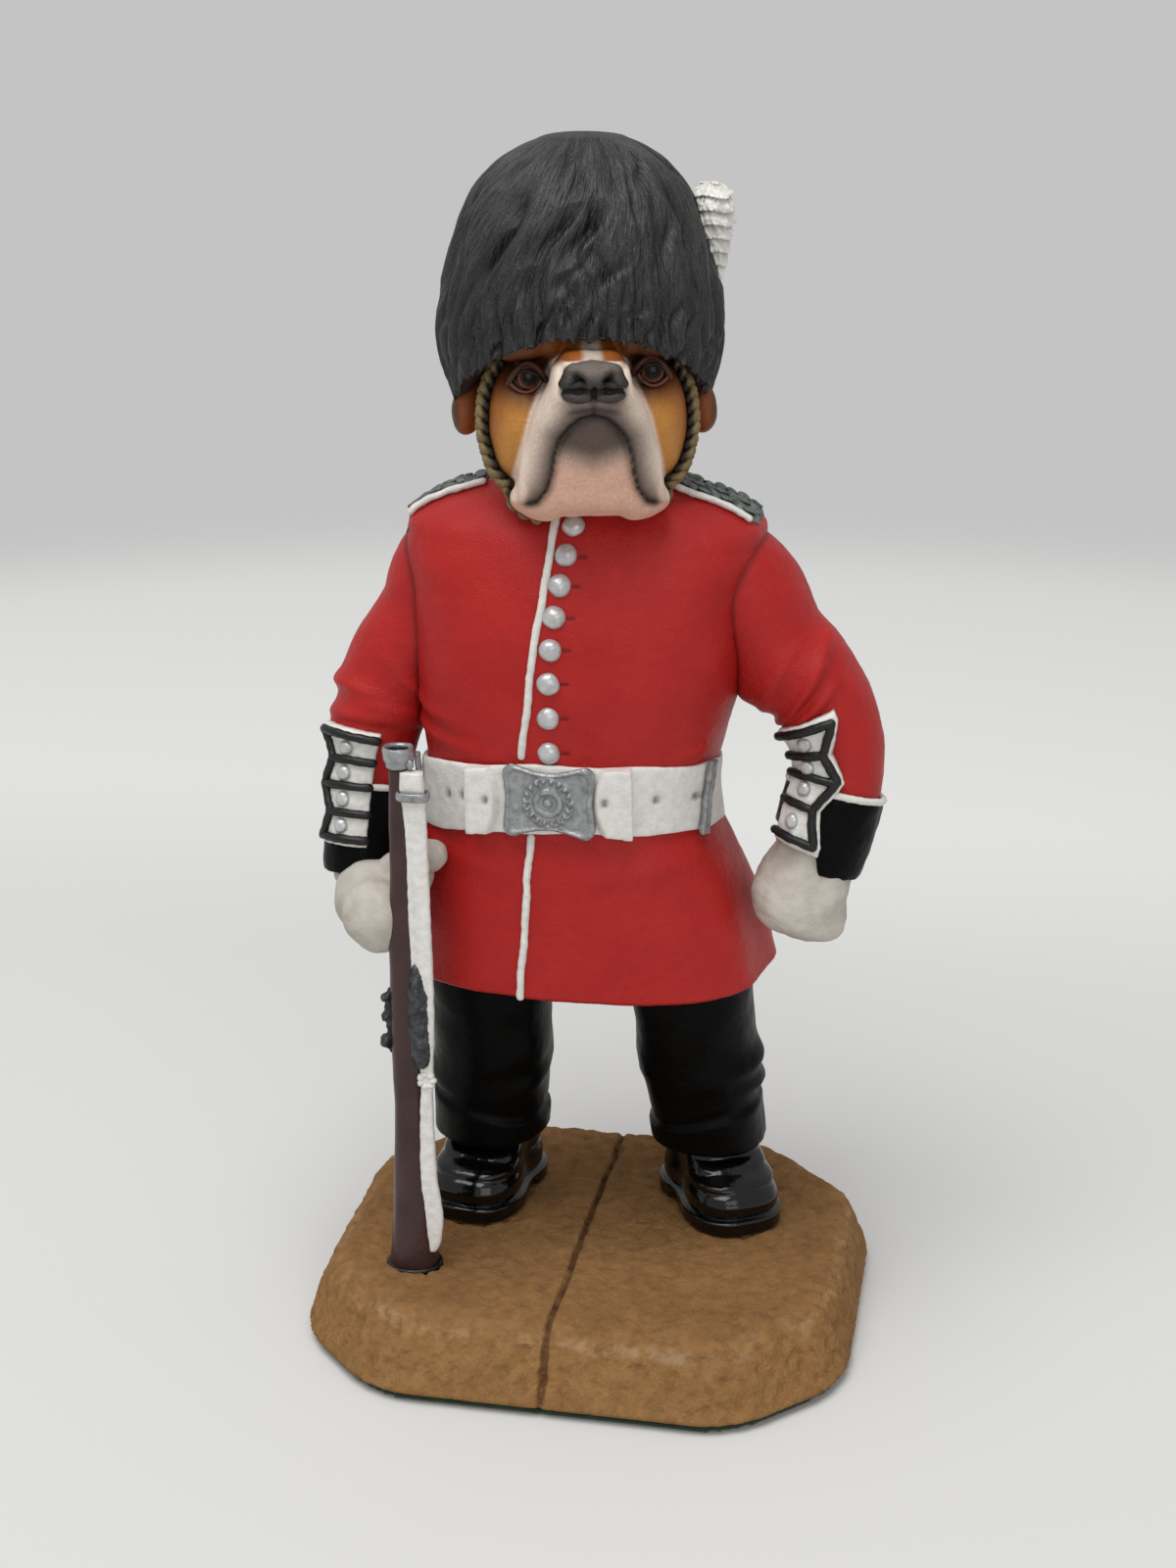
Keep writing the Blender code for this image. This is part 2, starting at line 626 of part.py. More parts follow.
# Sleeves: a path of stations from inside the shoulder to the wrist.
class Arm:
    def __init__(self, stations, folds):
        gaps = np.linalg.norm(np.diff(np.array(stations)[:, :3], axis=0), axis=1)
        self.length = np.concatenate([[0.0], np.cumsum(gaps)])
        self.table = [(s, *station) for s, station in zip(self.length, stations)]
        self.total = self.length[-1]
        self.folds = folds

    def middle(self, s):
        return Vector(smooth_rows(self.table, s)[0][:3])

    def point(self, s, angle, lift=0.0):
        """A point on the sleeve, s along it; angle 0 faces the dog's left and 90 its front."""
        row = smooth_rows(self.table, s)[0]
        ahead = (self.middle(min(s + 0.3, self.total)) - self.middle(max(s - 0.3, 0.0))).normalized()
        front = Vector((0, -1, 0))
        front = (front - front.dot(ahead) * ahead).normalized()
        side = front.cross(ahead)
        turn = math.radians(angle)
        swell = sum(
            height * math.exp(-(((s - at) / width) ** 2)) * max(0.0, math.cos(math.radians(angle - facing)))
            for at, width, facing, height in self.folds
        )
        across = (row[3] + swell + lift) * math.cos(turn)
        out = (row[4] + swell + lift) * math.sin(turn)
        return Vector(row[:3]) + side * across + front * out

    def sheet(self, name, rows, lift, thickness, ring=False):
        """A closed sheet laid on the sleeve. Each row is (s, angles)."""
        grids = [
            [[self.point(s, angle, out) for angle in angles] for s, angles in rows]
            for out in (lift, lift + thickness)
        ]
        return slab(name, *grids, ring)


LEFT_ARM = Arm(
    [
        # x, y, z, half width, half depth
        (SHOULDER_HALF_WIDTH - 8.2, 0.6, SHOULDER_HEIGHT - 0.8, 4.6, 6.4),
        (SHOULDER_HALF_WIDTH - 3.0, 0.5, SHOULDER_HEIGHT - 4.2, 6.4, 7.4),
        (CHEST_HALF_WIDTH + 3.4, 0.6, CHEST_HEIGHT + 1.4, 6.2, 7.0),
        (28.6, 0.8, CHEST_HEIGHT - 5.6, 5.7, 6.5),
        (30.4, 0.2, 60.6, 5.0, 5.7),
        (29.5, -1.0, 54.0, 5.0, 5.5),
        (28.3, -1.8, 48.4, 5.1, 5.3),
    ],
    [(19.6, 1.5, 200, 0.7), (22.8, 1.4, 190, 0.9), (25.6, 1.2, 175, 0.6), (19.0, 2.2, 30, 0.4)],
)
RIGHT_ARM = Arm(
    [
        (10.0 - SHOULDER_HALF_WIDTH, 0.6, SHOULDER_HEIGHT - 0.8, 4.6, 6.4),
        (6.0 - SHOULDER_HALF_WIDTH, 0.4, SHOULDER_HEIGHT - 3.2, 6.4, 7.4),
        (1.2 - CHEST_HALF_WIDTH, -0.2, CHEST_HEIGHT + 3.0, 6.3, 7.0),
        (-13.0 - CHEST_HALF_WIDTH / 2, -1.2, CHEST_HEIGHT - 4.2, 5.9, 6.5),
        (-24.5, -2.9, 60.8, 4.9, 5.6),
        (-25.0, -4.8, 54.0, 4.3, 5.0),
        (-25.2, -6.6, 46.6, 4.1, 4.7),
    ],
    [(21.0, 1.6, 20, 0.5), (24.6, 1.5, 60, 0.8), (28.0, 1.4, 130, 0.7)],
)


def sleeve(name, arm, shoulder):
    rings = [[arm.point(s, math.degrees(a)) for a in around(14)] for s in np.linspace(0, arm.total, 22)]
    made = add(name, skin(name, rings), SCARLET, figure)
    clear(made, tunic_form)
    pin = peg(name + "_peg", *shoulder, 2 * PEG_RADIUS, figure)
    combine(made, pin, "UNION")
    clear(tunic, pin)
    return made


PEG_INNER = CHEST_HEIGHT + 5.0
PEG_OUTER = CHEST_HEIGHT + 1.0
LEFT_PEG = ((12.0, 0.6, PEG_INNER), (CHEST_HALF_WIDTH + 3.8, 0.6, PEG_OUTER))
RIGHT_PEG = ((-10.0, 0.4, PEG_INNER), (0.4 - CHEST_HALF_WIDTH, -0.2, PEG_OUTER))
left_sleeve = sleeve("left_sleeve", LEFT_ARM, LEFT_PEG)
right_sleeve = sleeve("right_sleeve", RIGHT_ARM, RIGHT_PEG)


# Cuffs: a black band at the wrist, a white pointed slash on it, black braid and silver buttons.
def cuff(side, arm, top, foot, straight, points, middle):
    """top and foot are how far the slash stays from the sleeve's end; the angles are its two edges."""
    start = arm.total - top
    end = arm.total - foot
    bays = 3

    def pointed_edge(t):
        """The zigzag edge: it juts out at the first, third and last bar."""
        return points + (middle - points) * 0.5 * (1 - abs(1 - (4 * t) % 2))

    steps = np.linspace(0, 1, 4 * bays + 1)
    slash = add(
        side + "_cuff_slash",
        arm.sheet(
            side + "_cuff_slash",
            [(start + (end - start) * t, np.linspace(straight, pointed_edge(t), 6)) for t in steps],
            CLEARANCE, SLASH_THICKNESS,
        ),
        WHITE, figure,
    )
    band = add(
        side + "_cuff",
        arm.sheet(
            side + "_cuff",
            [(s, np.arange(0, 360, 20)) for s in np.linspace(arm.total - 9.5, arm.total - 0.3, 4)],
            CLEARANCE, CUFF_THICKNESS, True,
        ),
        BLACK_CLOTH, figure,
    )
    clear(band, slash)
    lift = 2 * CLEARANCE + SLASH_THICKNESS
    width = math.copysign(math.degrees(BRAID_WIDTH / 5.4), straight - points)
    edge = [
        (start + (end - start) * t, np.linspace(pointed_edge(t), pointed_edge(t) + width, 2)) for t in steps
    ]
    braid = add(
        side + "_cuff_braid", arm.sheet(side + "_cuff_braid", edge, lift, BRAID_THICKNESS), BLACK_CLOTH, figure
    )
    for bar in range(bays + 2):
        t = 0.03 + 0.94 * bar / (bays + 1)
        at = start + (end - start) * t
        rows = [
            (at + half * BRAID_WIDTH, np.linspace(straight - width * 0.6, pointed_edge(t) + width * 0.5, 5))
            for half in (-0.5, 0.5)
        ]
        name = f"{side}_braid_bar_{bar + 1}"
        rung = add(name, arm.sheet(name, rows, lift + 0.03, BRAID_THICKNESS - 0.07), None, figure, CUTTERS)
        combine(braid, rung, "UNION")
    for number in range(bays + 1):
        t = 0.03 + 0.94 * (number + 0.5) / (bays + 1)
        at = start + (end - start) * t
        seat = arm.point(at, middle, lift)
        normal = arm.point(at, middle, lift + 1.0) - seat
        button(
            f"{side}_cuff_button_{number + 1}", seat, normal, CUFF_BUTTON_RADIUS, BUTTON_HEIGHT * 0.8,
            SILVER, figure,
        )
    return band


left_cuff = cuff("left", LEFT_ARM, 18.2, 3.0, 160.0, 68.0, 124.0)
right_cuff = cuff("right", RIGHT_ARM, 16.4, 2.4, 66.0, 156.0, 108.0)


# Epaulettes: a stiff strap from collar to shoulder point, beaded along its front edge.
def epaulette(side, sign):
    inner = NECK_HALF_WIDTH - 0.6
    outer = SHOULDER_HALF_WIDTH - 0.2

    def over_shoulder(reach, depth, lift):
        """A point above the shoulder: the height at which the tunic's oval is that wide."""
        levels = np.linspace(SHOULDER_HEIGHT, COLLAR_HEIGHT, 40)
        half_width, half_depth, x, y = smooth_rows(TUNIC, levels).T
        deep = np.minimum(np.abs(depth - y) / half_depth, 1.0) ** TUNIC_POWER
        widths = sign * x + half_width * (1 - deep) ** (1 / TUNIC_POWER)
        z = np.interp(reach, widths[::-1], levels[::-1])
        return Vector((sign * reach, depth, z + lift))

    reaches = np.linspace(inner, outer, 7)
    depths = np.linspace(-EPAULETTE_HALF_DEPTH, EPAULETTE_HALF_DEPTH, 5) + 1.0
    grids = [
        [[over_shoulder(r, d, lift + 0.35 * (r - inner) / (outer - inner)) for d in depths] for r in reaches]
        for lift in (CLEARANCE, CLEARANCE + EPAULETTE_THICKNESS)
    ]
    strap = add(side + "_epaulette", slab(side + "_epaulette", *grids), GREY, figure)
    clear(strap, tunic_form)
    edge = [
        over_shoulder(r, depths[0] - 2 * CLEARANCE - PIPING_RADIUS, CLEARANCE + PIPING_RADIUS + 0.4)
        for r in reaches
    ]
    bead = add(side + "_epaulette_piping", tube(side + "_epaulette_piping", edge, PIPING_RADIUS), WHITE, figure)
    clear(bead, tunic_form)


epaulette("left", 1)
epaulette("right", -1)


# Head: a boxer's short skull, hanging lips either side of a broad chin, folded ears.
neck = frame("head_frame", (HEAD_X, 0.0, HEAD_HEIGHT), (0, 0, HEAD_TURN), figure)
MUZZLE_POWER = 2.6
MUZZLE = [
    # height, half width, half depth, middle x, middle y
    (-12.2, 6.6, 3.6, 0.0, -11.6),
    (-10.8, 8.4, 5.2, 0.0, -11.8),
    (-7.4, 8.0, 6.0, 0.0, -12.3),
    (-3.0, 6.3, 6.3, 0.0, -12.8),
    (1.0, 5.2, 6.2, 0.0, -13.4),
    (4.0, 4.3, 5.4, 0.0, -13.8),
    (6.2, 2.6, 3.6, 0.0, -13.8),
]
clay = bmesh.new()
clay.from_mesh(oval_loft("muzzle_clay", MUZZLE, np.linspace(-12.2, 6.2, 14), 24, MUZZLE_POWER))
ball(clay, (0, 1.0, 1.5), (11.7, 12.6, 13.0), fine=3)
ball(clay, (0, -1.0, -7.0), (8.5, 8.0, 6.5))
ball(clay, (0, -9.0, 5.0), (3.4, 5.0, 4.0))
for sign in (-1, 1):
    ball(clay, (sign * 6.7, -6.5, -3.0), (5.0, 6.0, 8.0), (0, sign * 4, 0))
    ball(clay, (sign * 5.6, -9.6, 6.6), (4.4, 2.8, 2.2), (0, sign * 18, 0))
    ball(clay, (sign * 12.6, -0.6, -1.2), (1.9, 3.0, 4.6), (0, sign * -10, sign * 14))
head = add("head", to_mesh("head", clay), FAWN, neck)
blend_clay(head, 0.6, 4, 0.06)
head_form = head.copy()
head_form.name = "head_form"
head_form.modifiers["thin"].ratio = 0.035
CUTTERS.objects.link(head_form)
head_form.hide_render = True
head_form.display_type = "WIRE"
# The mouth: an arch under the nose that drops to the corners of the hanging lips.
LIP_LINE = [(0.0, 0.2), (2.4, -0.8), (3.9, -2.8), (4.6, -5.2), (5.6, -7.6), (7.0, -9.0)]
lip_points = [(-x, z) for x, z in reversed(LIP_LINE[1:])] + LIP_LINE
lip_path = [front_of(MUZZLE, MUZZLE_POWER, x, z) + Vector((0, -0.15, 0)) for x, z in lip_points]
mouth = add("mouth_line", tube("mouth_line", lip_path, 0.55), None, neck, CUTTERS)
combine(head, mouth, "DIFFERENCE")
clear(head, tunic_form)
neck_peg = peg("neck_peg", (0, 1.0, -4.0), (0, 1.0, -16.0), NECK_PEG_RADIUS, neck)
combine(head, neck_peg, "UNION")
clear(tunic, neck_peg)

# Nose leather and eyes sit in the face.
pad = bmesh.new()
ball(pad, (0, -19.2, 4.2), (NOSE_HALF_WIDTH, 2.0, 2.1), fine=2)
ball(pad, (0, -19.6, 2.6), (1.5, 1.3, 1.6), fine=2)
nose = add("nose", to_mesh("nose", pad), DARK_NOSE, neck)
blend_clay(nose, 0.35, 3, 0.15)
clear(head, nose)
for side, sign in (("left", 1), ("right", -1)):
    orb = bmesh.new()
    ball(orb, (sign * 6.6, -10.8, 3.0), (EYE_RADIUS, EYE_RADIUS, EYE_RADIUS))
    eye = add(side + "_eye", to_mesh(side + "_eye", orb), EYE_BROWN, neck)
    clear(head, eye)

# Bearskin: a tall dome of swirling locks, its rim arched up over the muzzle.
CAP_PROFILE = [
    # height over the skull's middle, half width, half depth
    (-4.0, CAP_HALF_WIDTH - 2.6, 13.4),
    (-0.9, CAP_HALF_WIDTH - 1.6, 14.2),
    (1.5, CAP_HALF_WIDTH - 0.7, 15.0),
    (5.0, CAP_HALF_WIDTH, 15.6),
    (9.2, CAP_HALF_WIDTH, 15.6),
    (14.6, CAP_HALF_WIDTH - 1.2, 14.4),
    (19.4, CAP_HALF_WIDTH - 2.8, 12.7),
    (23.4, CAP_HALF_WIDTH - 5.4, 10.2),
    (26.0, CAP_HALF_WIDTH - 8.8, 7.0),
    (CAP_TOP, 2.0, 2.0),
]


def cap_point(angle, t, inside=0.0):
    """A point on the cap: t runs from the rim to the crown."""
    front = max(0.0, -math.sin(angle))
    back = max(0.0, math.sin(angle))
    rim = CAP_RIM + CAP_RIM_RISE * front**1.45 - CAP_BACK_DROP * back**1.5
    z = rim + (CAP_TOP - rim) * t
    half_width, half_depth = smooth_rows(CAP_PROFILE, z)[0]
    fade = math.sin(math.pi * min(t * 1.15 + 0.12, 1))
    lock = 0.38 * math.sin(CAP_LOCKS * angle + 5.0 * t + 1.2 * math.sin(3 * angle)) * fade
    half_width += lock - inside
    half_depth += lock - inside
    lean = CAP_LEAN * (max(0.0, z) / CAP_TOP) ** 2
    return (half_width * math.cos(angle) + lean - 0.4, 0.5 + half_depth * math.sin(angle), z)


cap_rings = [[cap_point(a, 0.10, 5.0) for a in around(44)]]
cap_rings += [[cap_point(a, 0.0, 1.2) for a in around(44)]]
cap_levels = (0.02, 0.1, 0.2, 0.3, 0.4, 0.5, 0.6, 0.7, 0.79, 0.86, 0.92, 0.965, 1.0)
cap_rings += [[cap_point(a, t) for a in around(44)] for t in cap_levels]
cap = add("bearskin_cap", skin("bearskin_cap", cap_rings), BEARSKIN, neck)
cap_form = cap.copy()
cap_form.name = "cap_form"
CUTTERS.objects.link(cap_form)
cap_form.hide_render = True
cap_form.display_type = "WIRE"
clear(cap, head_form, gap=2 * CLEARANCE)

# Plume: rows of tufts on the dog's left side of the cap, tapering downward.
plume_rings = []
for t in np.linspace(0, 1, 3 * PLUME_TUFTS + 1):
    taper = 0.35 + 0.65 * min(1.0, t * 1.7)
    close = math.sqrt(max(0.06, 1 - max(0.0, (t - 0.86) / 0.16) ** 2))
    tuft = 1.0 + 0.10 * (1 - (t * PLUME_TUFTS) % 1.0)
    z = 9.2 + PLUME_HEIGHT * t
    flat = [rounded(a, 2.1 * taper * close * tuft, 3.0 * taper * close * tuft, 2.0) for a in around(12)]
    plume_rings.append([(14.0 + 0.2 * t + x, 2.6 + y, z) for x, y in flat])
plume = add("plume", skin("plume", plume_rings), WHITE, neck)
clear(plume, cap_form)

# Chin chain: a plaited gold cord down each cheek, from under the rim to behind the lip.
bpy.context.view_layer.update()
face = BVHTree.FromObject(head, bpy.context.evaluated_depsgraph_get())


def on_face(start, way):
    """Where a line from outside meets the head, and which way the skin faces there."""
    place, normal, _, _ = face.ray_cast(Vector(start) * MM, Vector(way))
    return place / MM, normal


CHAIN_BEADS = 11
CHAIN_TURN = (-18.0, 62.0)  # from under the rim to behind the lip, round the jaw
for side, sign in (("left", 1), ("right", -1)):
    rings = []
    for i, t in enumerate(np.linspace(0, 1, 3 * CHAIN_BEADS + 1)):
        turn = math.radians(CHAIN_TURN[0] + (CHAIN_TURN[1] - CHAIN_TURN[0]) * t)
        out = Vector((sign * math.cos(turn), 0, -math.sin(turn)))
        place, normal = on_face(Vector((0, -6.6 - 2.6 * t, -1.0)) + out * 30, -out)
        normal = (normal + out).normalized()
        across = normal.cross(Vector((math.sin(turn) * sign, 0, math.cos(turn)))).normalized()
        centre = place + normal * CHAIN_HALF_THICKNESS / 2
        weave = 2 * math.pi * i / 3
        ring = []
        for b in around(6):
            swell = 1.0 + 0.22 * math.cos(weave) * math.cos(b) + 0.10 * math.cos(2 * weave)
            spoke = across * CHAIN_HALF_WIDTH * math.cos(b) + normal * CHAIN_HALF_THICKNESS * math.sin(b)
            ring.append(centre + spoke * swell)
        rings.append(ring)
    chain = add(side + "_chin_chain", skin(side + "_chin_chain", rings), GOLD_CORD, neck)
    clear(head, chain)
    clear(cap, chain)
    clear(chain, tunic_form)


# Rifle, grounded at the dog's right: a slim stock in a socket of the slab, sling along its underside.
rifle = frame("rifle", (RIFLE_X, RIFLE_Y, BASE_HEIGHT), (-1.3, -0.7, 0))
STOCK = [
    # height, half width, half depth, middle x, middle y
    (-RIFLE_SOCKET, 3.1, 2.6, 0.0, 0.0),
    (1.0, 3.05, 2.6, 0.0, 0.0),
    (6.0, 2.6, 2.3, 0.1, 0.0),
    (13.0, 2.1, 1.9, 0.0, 0.0),
    (20.0, 1.8, 1.7, 0.0, 0.0),
    (29.0, 2.0, 1.8, 0.1, 0.0),
    (38.0, 1.8, 1.7, 0.0, 0.0),
    (50.0, 1.4, 1.4, 0.0, 0.0),
    (RIFLE_LENGTH - MUZZLE_HEIGHT - CLEARANCE, 1.15, 1.15, 0.0, 0.0),
]
stock_levels = np.linspace(-RIFLE_SOCKET, RIFLE_LENGTH - MUZZLE_HEIGHT - CLEARANCE, 15)
stock = add("rifle_stock", oval_loft("rifle_stock", STOCK, stock_levels, 10, 2.3), MAROON, rifle)
clear(base, stock)

muzzle_profile = [
    (1.35, RIFLE_LENGTH - MUZZLE_HEIGHT), (1.35, RIFLE_LENGTH - 1.6), (MUZZLE_RADIUS, RIFLE_LENGTH - 1.2),
    (MUZZLE_RADIUS, RIFLE_LENGTH), (BORE_RADIUS, RIFLE_LENGTH), (BORE_RADIUS, RIFLE_LENGTH - 0.9),
]
muzzle_rings = [[(r * math.cos(a), r * math.sin(a), z) for a in around(14)] for r, z in muzzle_profile]
add("rifle_muzzle", skin("rifle_muzzle", muzzle_rings), SILVER, rifle)

action_bm = bmesh.new()
ball(action_bm, (1.7, -1.3, 32.6), (1.35, 1.0, 6.7))
ball(action_bm, (2.1, -1.5, 28.6), (0.9, 1.0, 2.2))
action = add("rifle_action", to_mesh("rifle_action", action_bm), GUNMETAL, rifle)
blend_clay(action, 0.35, 2, 0.14)

SLING = [
    # height, half width, middle x
    (2.2, 0.35, 2.6),
    (5.0, 1.45, 2.5),
    (12.0, 1.2, 2.3),
    (22.0, 1.0, 2.4),
    (25.0, 0.8, 2.5),
    (30.0, 1.2, 2.4),
    (44.0, 1.3, 2.2),
    (57.0, 1.25, 2.2),
    (60.4, 1.25, 2.1),
]
sling_levels = np.linspace(SLING[0][0], SLING[-1][0], 16)
sling_rings = []
for z, (half, x) in zip(sling_levels, smooth_rows(SLING, sling_levels)):
    flat = [rounded(a, half, SLING_THICKNESS / 2, 3.0) for a in around(8)]
    sling_rings.append([(x + u, -1.0 + v, z) for u, v in flat])
sling = add("rifle_sling", skin("rifle_sling", sling_rings), WHITE, rifle)
clear(sling, action)
clear(stock, action, sling)

sling_band_rings = [
    [(2.0 + u, -1.0 + v, z) for u, v in (rounded(a, 1.75, 1.1, 3.0) for a in around(12))] for z in (57.6, 58.6)
]
sling_band = add("sling_band", skin("sling_band", sling_band_rings), SILVER, rifle)
clear(sling_band, sling, stock)

bolt_bm = bmesh.new()
ball(bolt_bm, (-2.3, 0.0, 31.4), (0.6, 0.8, 4.4))
for z in (34.4, 31.9, 28.8):
    ball(bolt_bm, (-2.9, -0.2, z), (0.8, 0.9, 0.9))
bolt = add("rifle_bolt", to_mesh("rifle_bolt", bolt_bm), GUNMETAL, rifle)
blend_clay(bolt, 0.3, 2, 0.16)
clear(bolt, stock)


# Gloves: the left fist rests on the hip, the right mitten closes round the rifle.
GLOVE = [
    (50.2, 4.7, 4.6, 28.3, -1.8),
    (48.0, 5.2, 5.2, 27.8, -2.2),
    (46.0, 5.8, 5.7, 27.0, -2.9),
    (43.4, 5.7, 5.7, 26.5, -3.4),
    (41.2, 4.9, 5.0, 26.6, -3.6),
    (39.9, 2.6, 2.8, 26.9, -3.6),
]
glove_levels = [39.9, 40.3, 41.2, 42.4, 43.8, 45.2, 46.6, 48.0, 49.2, 50.2]
left_glove = add(
    "left_glove", oval_loft("left_glove", GLOVE[::-1], glove_levels, 16, 3.0), WHITE, figure
)
clear(left_glove, left_sleeve, left_cuff, tunic_form)

mitten = bmesh.new()
ball(mitten, (-24.4, -7.6, 46.4), (4.2, 4.4, 3.4))
ball(mitten, (-23.2, -11.4, 44.2), (4.2, 4.8, 4.8), (0, -8, 0))
ball(mitten, (-21.4, -14.8, 43.4), (4.3, 4.0, 4.6), (0, -12, 0))
ball(mitten, (-19.6, -11.6, 47.0), (4.4, 2.2, 3.2), (0, -20, 0))
ball(mitten, (-15.6, -12.6, 50.4), (2.3, 1.9, 2.0))
right_glove = add("right_glove", to_mesh("right_glove", mitten), WHITE, figure)
blend_clay(right_glove, 0.5, 4, 0.08)
clear(right_glove, right_sleeve, right_cuff, stock, sling, tunic_form)
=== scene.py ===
"""A guard dog figurine, sculpted, cast in resin and hand painted, on a paving slab with a felt underside.

Sizes are in millimetres, in the figure's own frames, and MM turns them into metres.
"""

import math

import bpy
import numpy as np
from mathutils import Matrix, Vector, noise
from mathutils.bvhtree import BVHTree


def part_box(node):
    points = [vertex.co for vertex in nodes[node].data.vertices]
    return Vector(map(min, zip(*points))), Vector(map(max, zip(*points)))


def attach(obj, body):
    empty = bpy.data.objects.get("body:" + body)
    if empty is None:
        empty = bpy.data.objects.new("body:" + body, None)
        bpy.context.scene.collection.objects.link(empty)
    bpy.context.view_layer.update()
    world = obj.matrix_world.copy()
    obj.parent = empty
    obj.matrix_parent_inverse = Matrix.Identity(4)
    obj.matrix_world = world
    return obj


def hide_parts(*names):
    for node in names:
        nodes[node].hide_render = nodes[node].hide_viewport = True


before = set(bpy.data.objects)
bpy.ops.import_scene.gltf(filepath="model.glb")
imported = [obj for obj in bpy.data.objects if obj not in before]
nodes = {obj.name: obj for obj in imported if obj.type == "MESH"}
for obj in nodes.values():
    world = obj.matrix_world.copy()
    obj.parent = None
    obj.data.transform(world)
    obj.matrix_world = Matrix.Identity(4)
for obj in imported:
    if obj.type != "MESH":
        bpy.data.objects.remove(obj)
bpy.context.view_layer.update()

# Paving slab
# The base is one resin casting of a worn paving slab, stippled with sand-coloured paint,
# with a darker joint line. The figure is pegged into it and the rifle stands in a socket.
MM = 0.001
SLAB_VOXEL = 0.36
SLAB_WEAR = 0.22
JOINT_X = -1.0
JOINT_DEPTH = 0.45


def linear(colour):
    """An sRGB hex colour as linear red, green, blue and alpha."""
    parts = [int(colour[i : i + 2], 16) / 255 for i in (1, 3, 5)]
    return (*[c / 12.92 if c <= 0.04045 else ((c + 0.055) / 1.055) ** 2.4 for c in parts], 1.0)


def add_node(tree, kind, sockets=None, **settings):
    """A shader node with its settings. A socket gets a value or another node's output."""
    made = tree.nodes.new("ShaderNode" + kind)
    for name, value in settings.items():
        setattr(made, name, value)
    for socket, value in (sockets or {}).items():
        if isinstance(value, bpy.types.NodeSocket):
            tree.links.new(value, made.inputs[socket])
        else:
            made.inputs[socket].default_value = value
    return made


def bare_coat(name):
    """A paint to be mixed: its material, node tree and surface, and the piece's own coordinates."""
    coat = bpy.data.materials.new(name)
    coat.use_nodes = True
    tree = coat.node_tree
    return coat, tree, tree.nodes["Principled BSDF"], add_node(tree, "TexCoord").outputs["Object"]


def painted_resin(
    name, colour, shade, light, roughness, grain, depth, mottle=3.0, flecks=0.0, wash_and_shade=None, shine=0.4,
    metal=0.0,
):
    """Hand paint on cast resin: mottled, with a grain that catches the light and pale specks of wear.

    grain and mottle are the sizes of the stipple and of the cloudy brush marks in millimetres, and
    depth is the stipple's height. flecks is how thick the specks lie. The wash colour goes into the
    hollows that the piece's groove attribute marks: a real paint wash on some pieces, painted shade on
    others.
    """
    coat, tree, surface, place = bare_coat(name)
    cloud = add_node(
        tree, "TexNoise", {"Vector": place, "Scale": 1 / (mottle * MM), "Detail": 4.0, "Roughness": 0.6}
    )
    cloudy = add_node(tree, "MapRange", {0: cloud.outputs[0], 1: 0.35, 2: 0.7, 3: 0.0, 4: 1.0})
    mixed = add_node(
        tree, "Mix", {0: cloudy.outputs[0], 6: linear(colour), 7: linear(shade)}, data_type="RGBA"
    )
    stipple = add_node(
        tree, "TexNoise", {"Vector": place, "Scale": 1 / (grain * MM), "Detail": 3.0, "Roughness": 0.55}
    )
    if flecks:
        speck = add_node(
            tree, "TexNoise", {"Vector": place, "Scale": 1 / (0.24 * MM), "Detail": 2.0, "Roughness": 0.7}
        )
        high = 0.72 - 0.3 * flecks
        bare = add_node(tree, "MapRange", {0: speck.outputs[0], 1: high, 2: high + 0.12, 3: 0.0, 4: 0.6})
        mixed = add_node(
            tree, "Mix", {0: bare.outputs[0], 6: mixed.outputs[2], 7: linear(light)}, data_type="RGBA"
        )
    if wash_and_shade:
        hollow = add_node(tree, "Attribute", attribute_name="groove")
        mixed = add_node(
            tree, "Mix", {0: hollow.outputs["Fac"], 6: mixed.outputs[2], 7: linear(wash_and_shade)}, data_type="RGBA"
        )
    bump = add_node(tree, "Bump", {"Height": stipple.outputs[0], "Distance": depth * MM, "Strength": 1.0})
    dullest = min(1.0, roughness * 1.15)
    worn = add_node(tree, "MapRange", {0: cloud.outputs[0], 1: 0.3, 2: 0.7, 3: roughness * 0.85, 4: dullest})
    tree.links.new(mixed.outputs[2], surface.inputs["Base Color"])
    tree.links.new(bump.outputs[0], surface.inputs["Normal"])
    tree.links.new(worn.outputs[0], surface.inputs["Roughness"])
    surface.inputs["Specular IOR Level"].default_value = shine
    surface.inputs["Metallic"].default_value = metal
    return coat


def points_of(piece):
    """The piece's points in millimetres, as rows of a table."""
    flat = np.empty(3 * len(piece.data.vertices))
    piece.data.vertices.foreach_get("co", flat)
    return flat.reshape(-1, 3) / MM


def normals_of(piece):
    """The way that the piece faces at each of its points."""
    flat = np.empty(3 * len(piece.data.vertices))
    piece.data.vertices.foreach_get("normal", flat)
    return flat.reshape(-1, 3)


def set_points(piece, points):
    """Puts the piece's points at these places, in millimetres."""
    piece.data.vertices.foreach_set("co", (np.asarray(points) * MM).ravel())
    piece.data.update()


def roughly(points, size, seed=0.0):
    """Smooth noise of about -0.5 to 0.5 at each point, with lumps of this size."""
    return np.array([noise.noise(p) for p in (points / size + seed).tolist()])


def mark(piece, name, values):
    """A number or a place at each point of the piece, which its paint can read."""
    values = np.asarray(values, np.float32)
    kind, field = ("FLOAT", "value") if values.ndim == 1 else ("FLOAT_VECTOR", "vector")
    piece.data.attributes.new(name, kind, "POINT").data.foreach_set(field, values.ravel())


def pick(*pieces):
    """Selects these pieces and nothing else, and makes the first one active."""
    bpy.ops.object.select_all(action="DESELECT")
    for piece in pieces:
        piece.select_set(True)
    bpy.context.view_layer.objects.active = pieces[0]


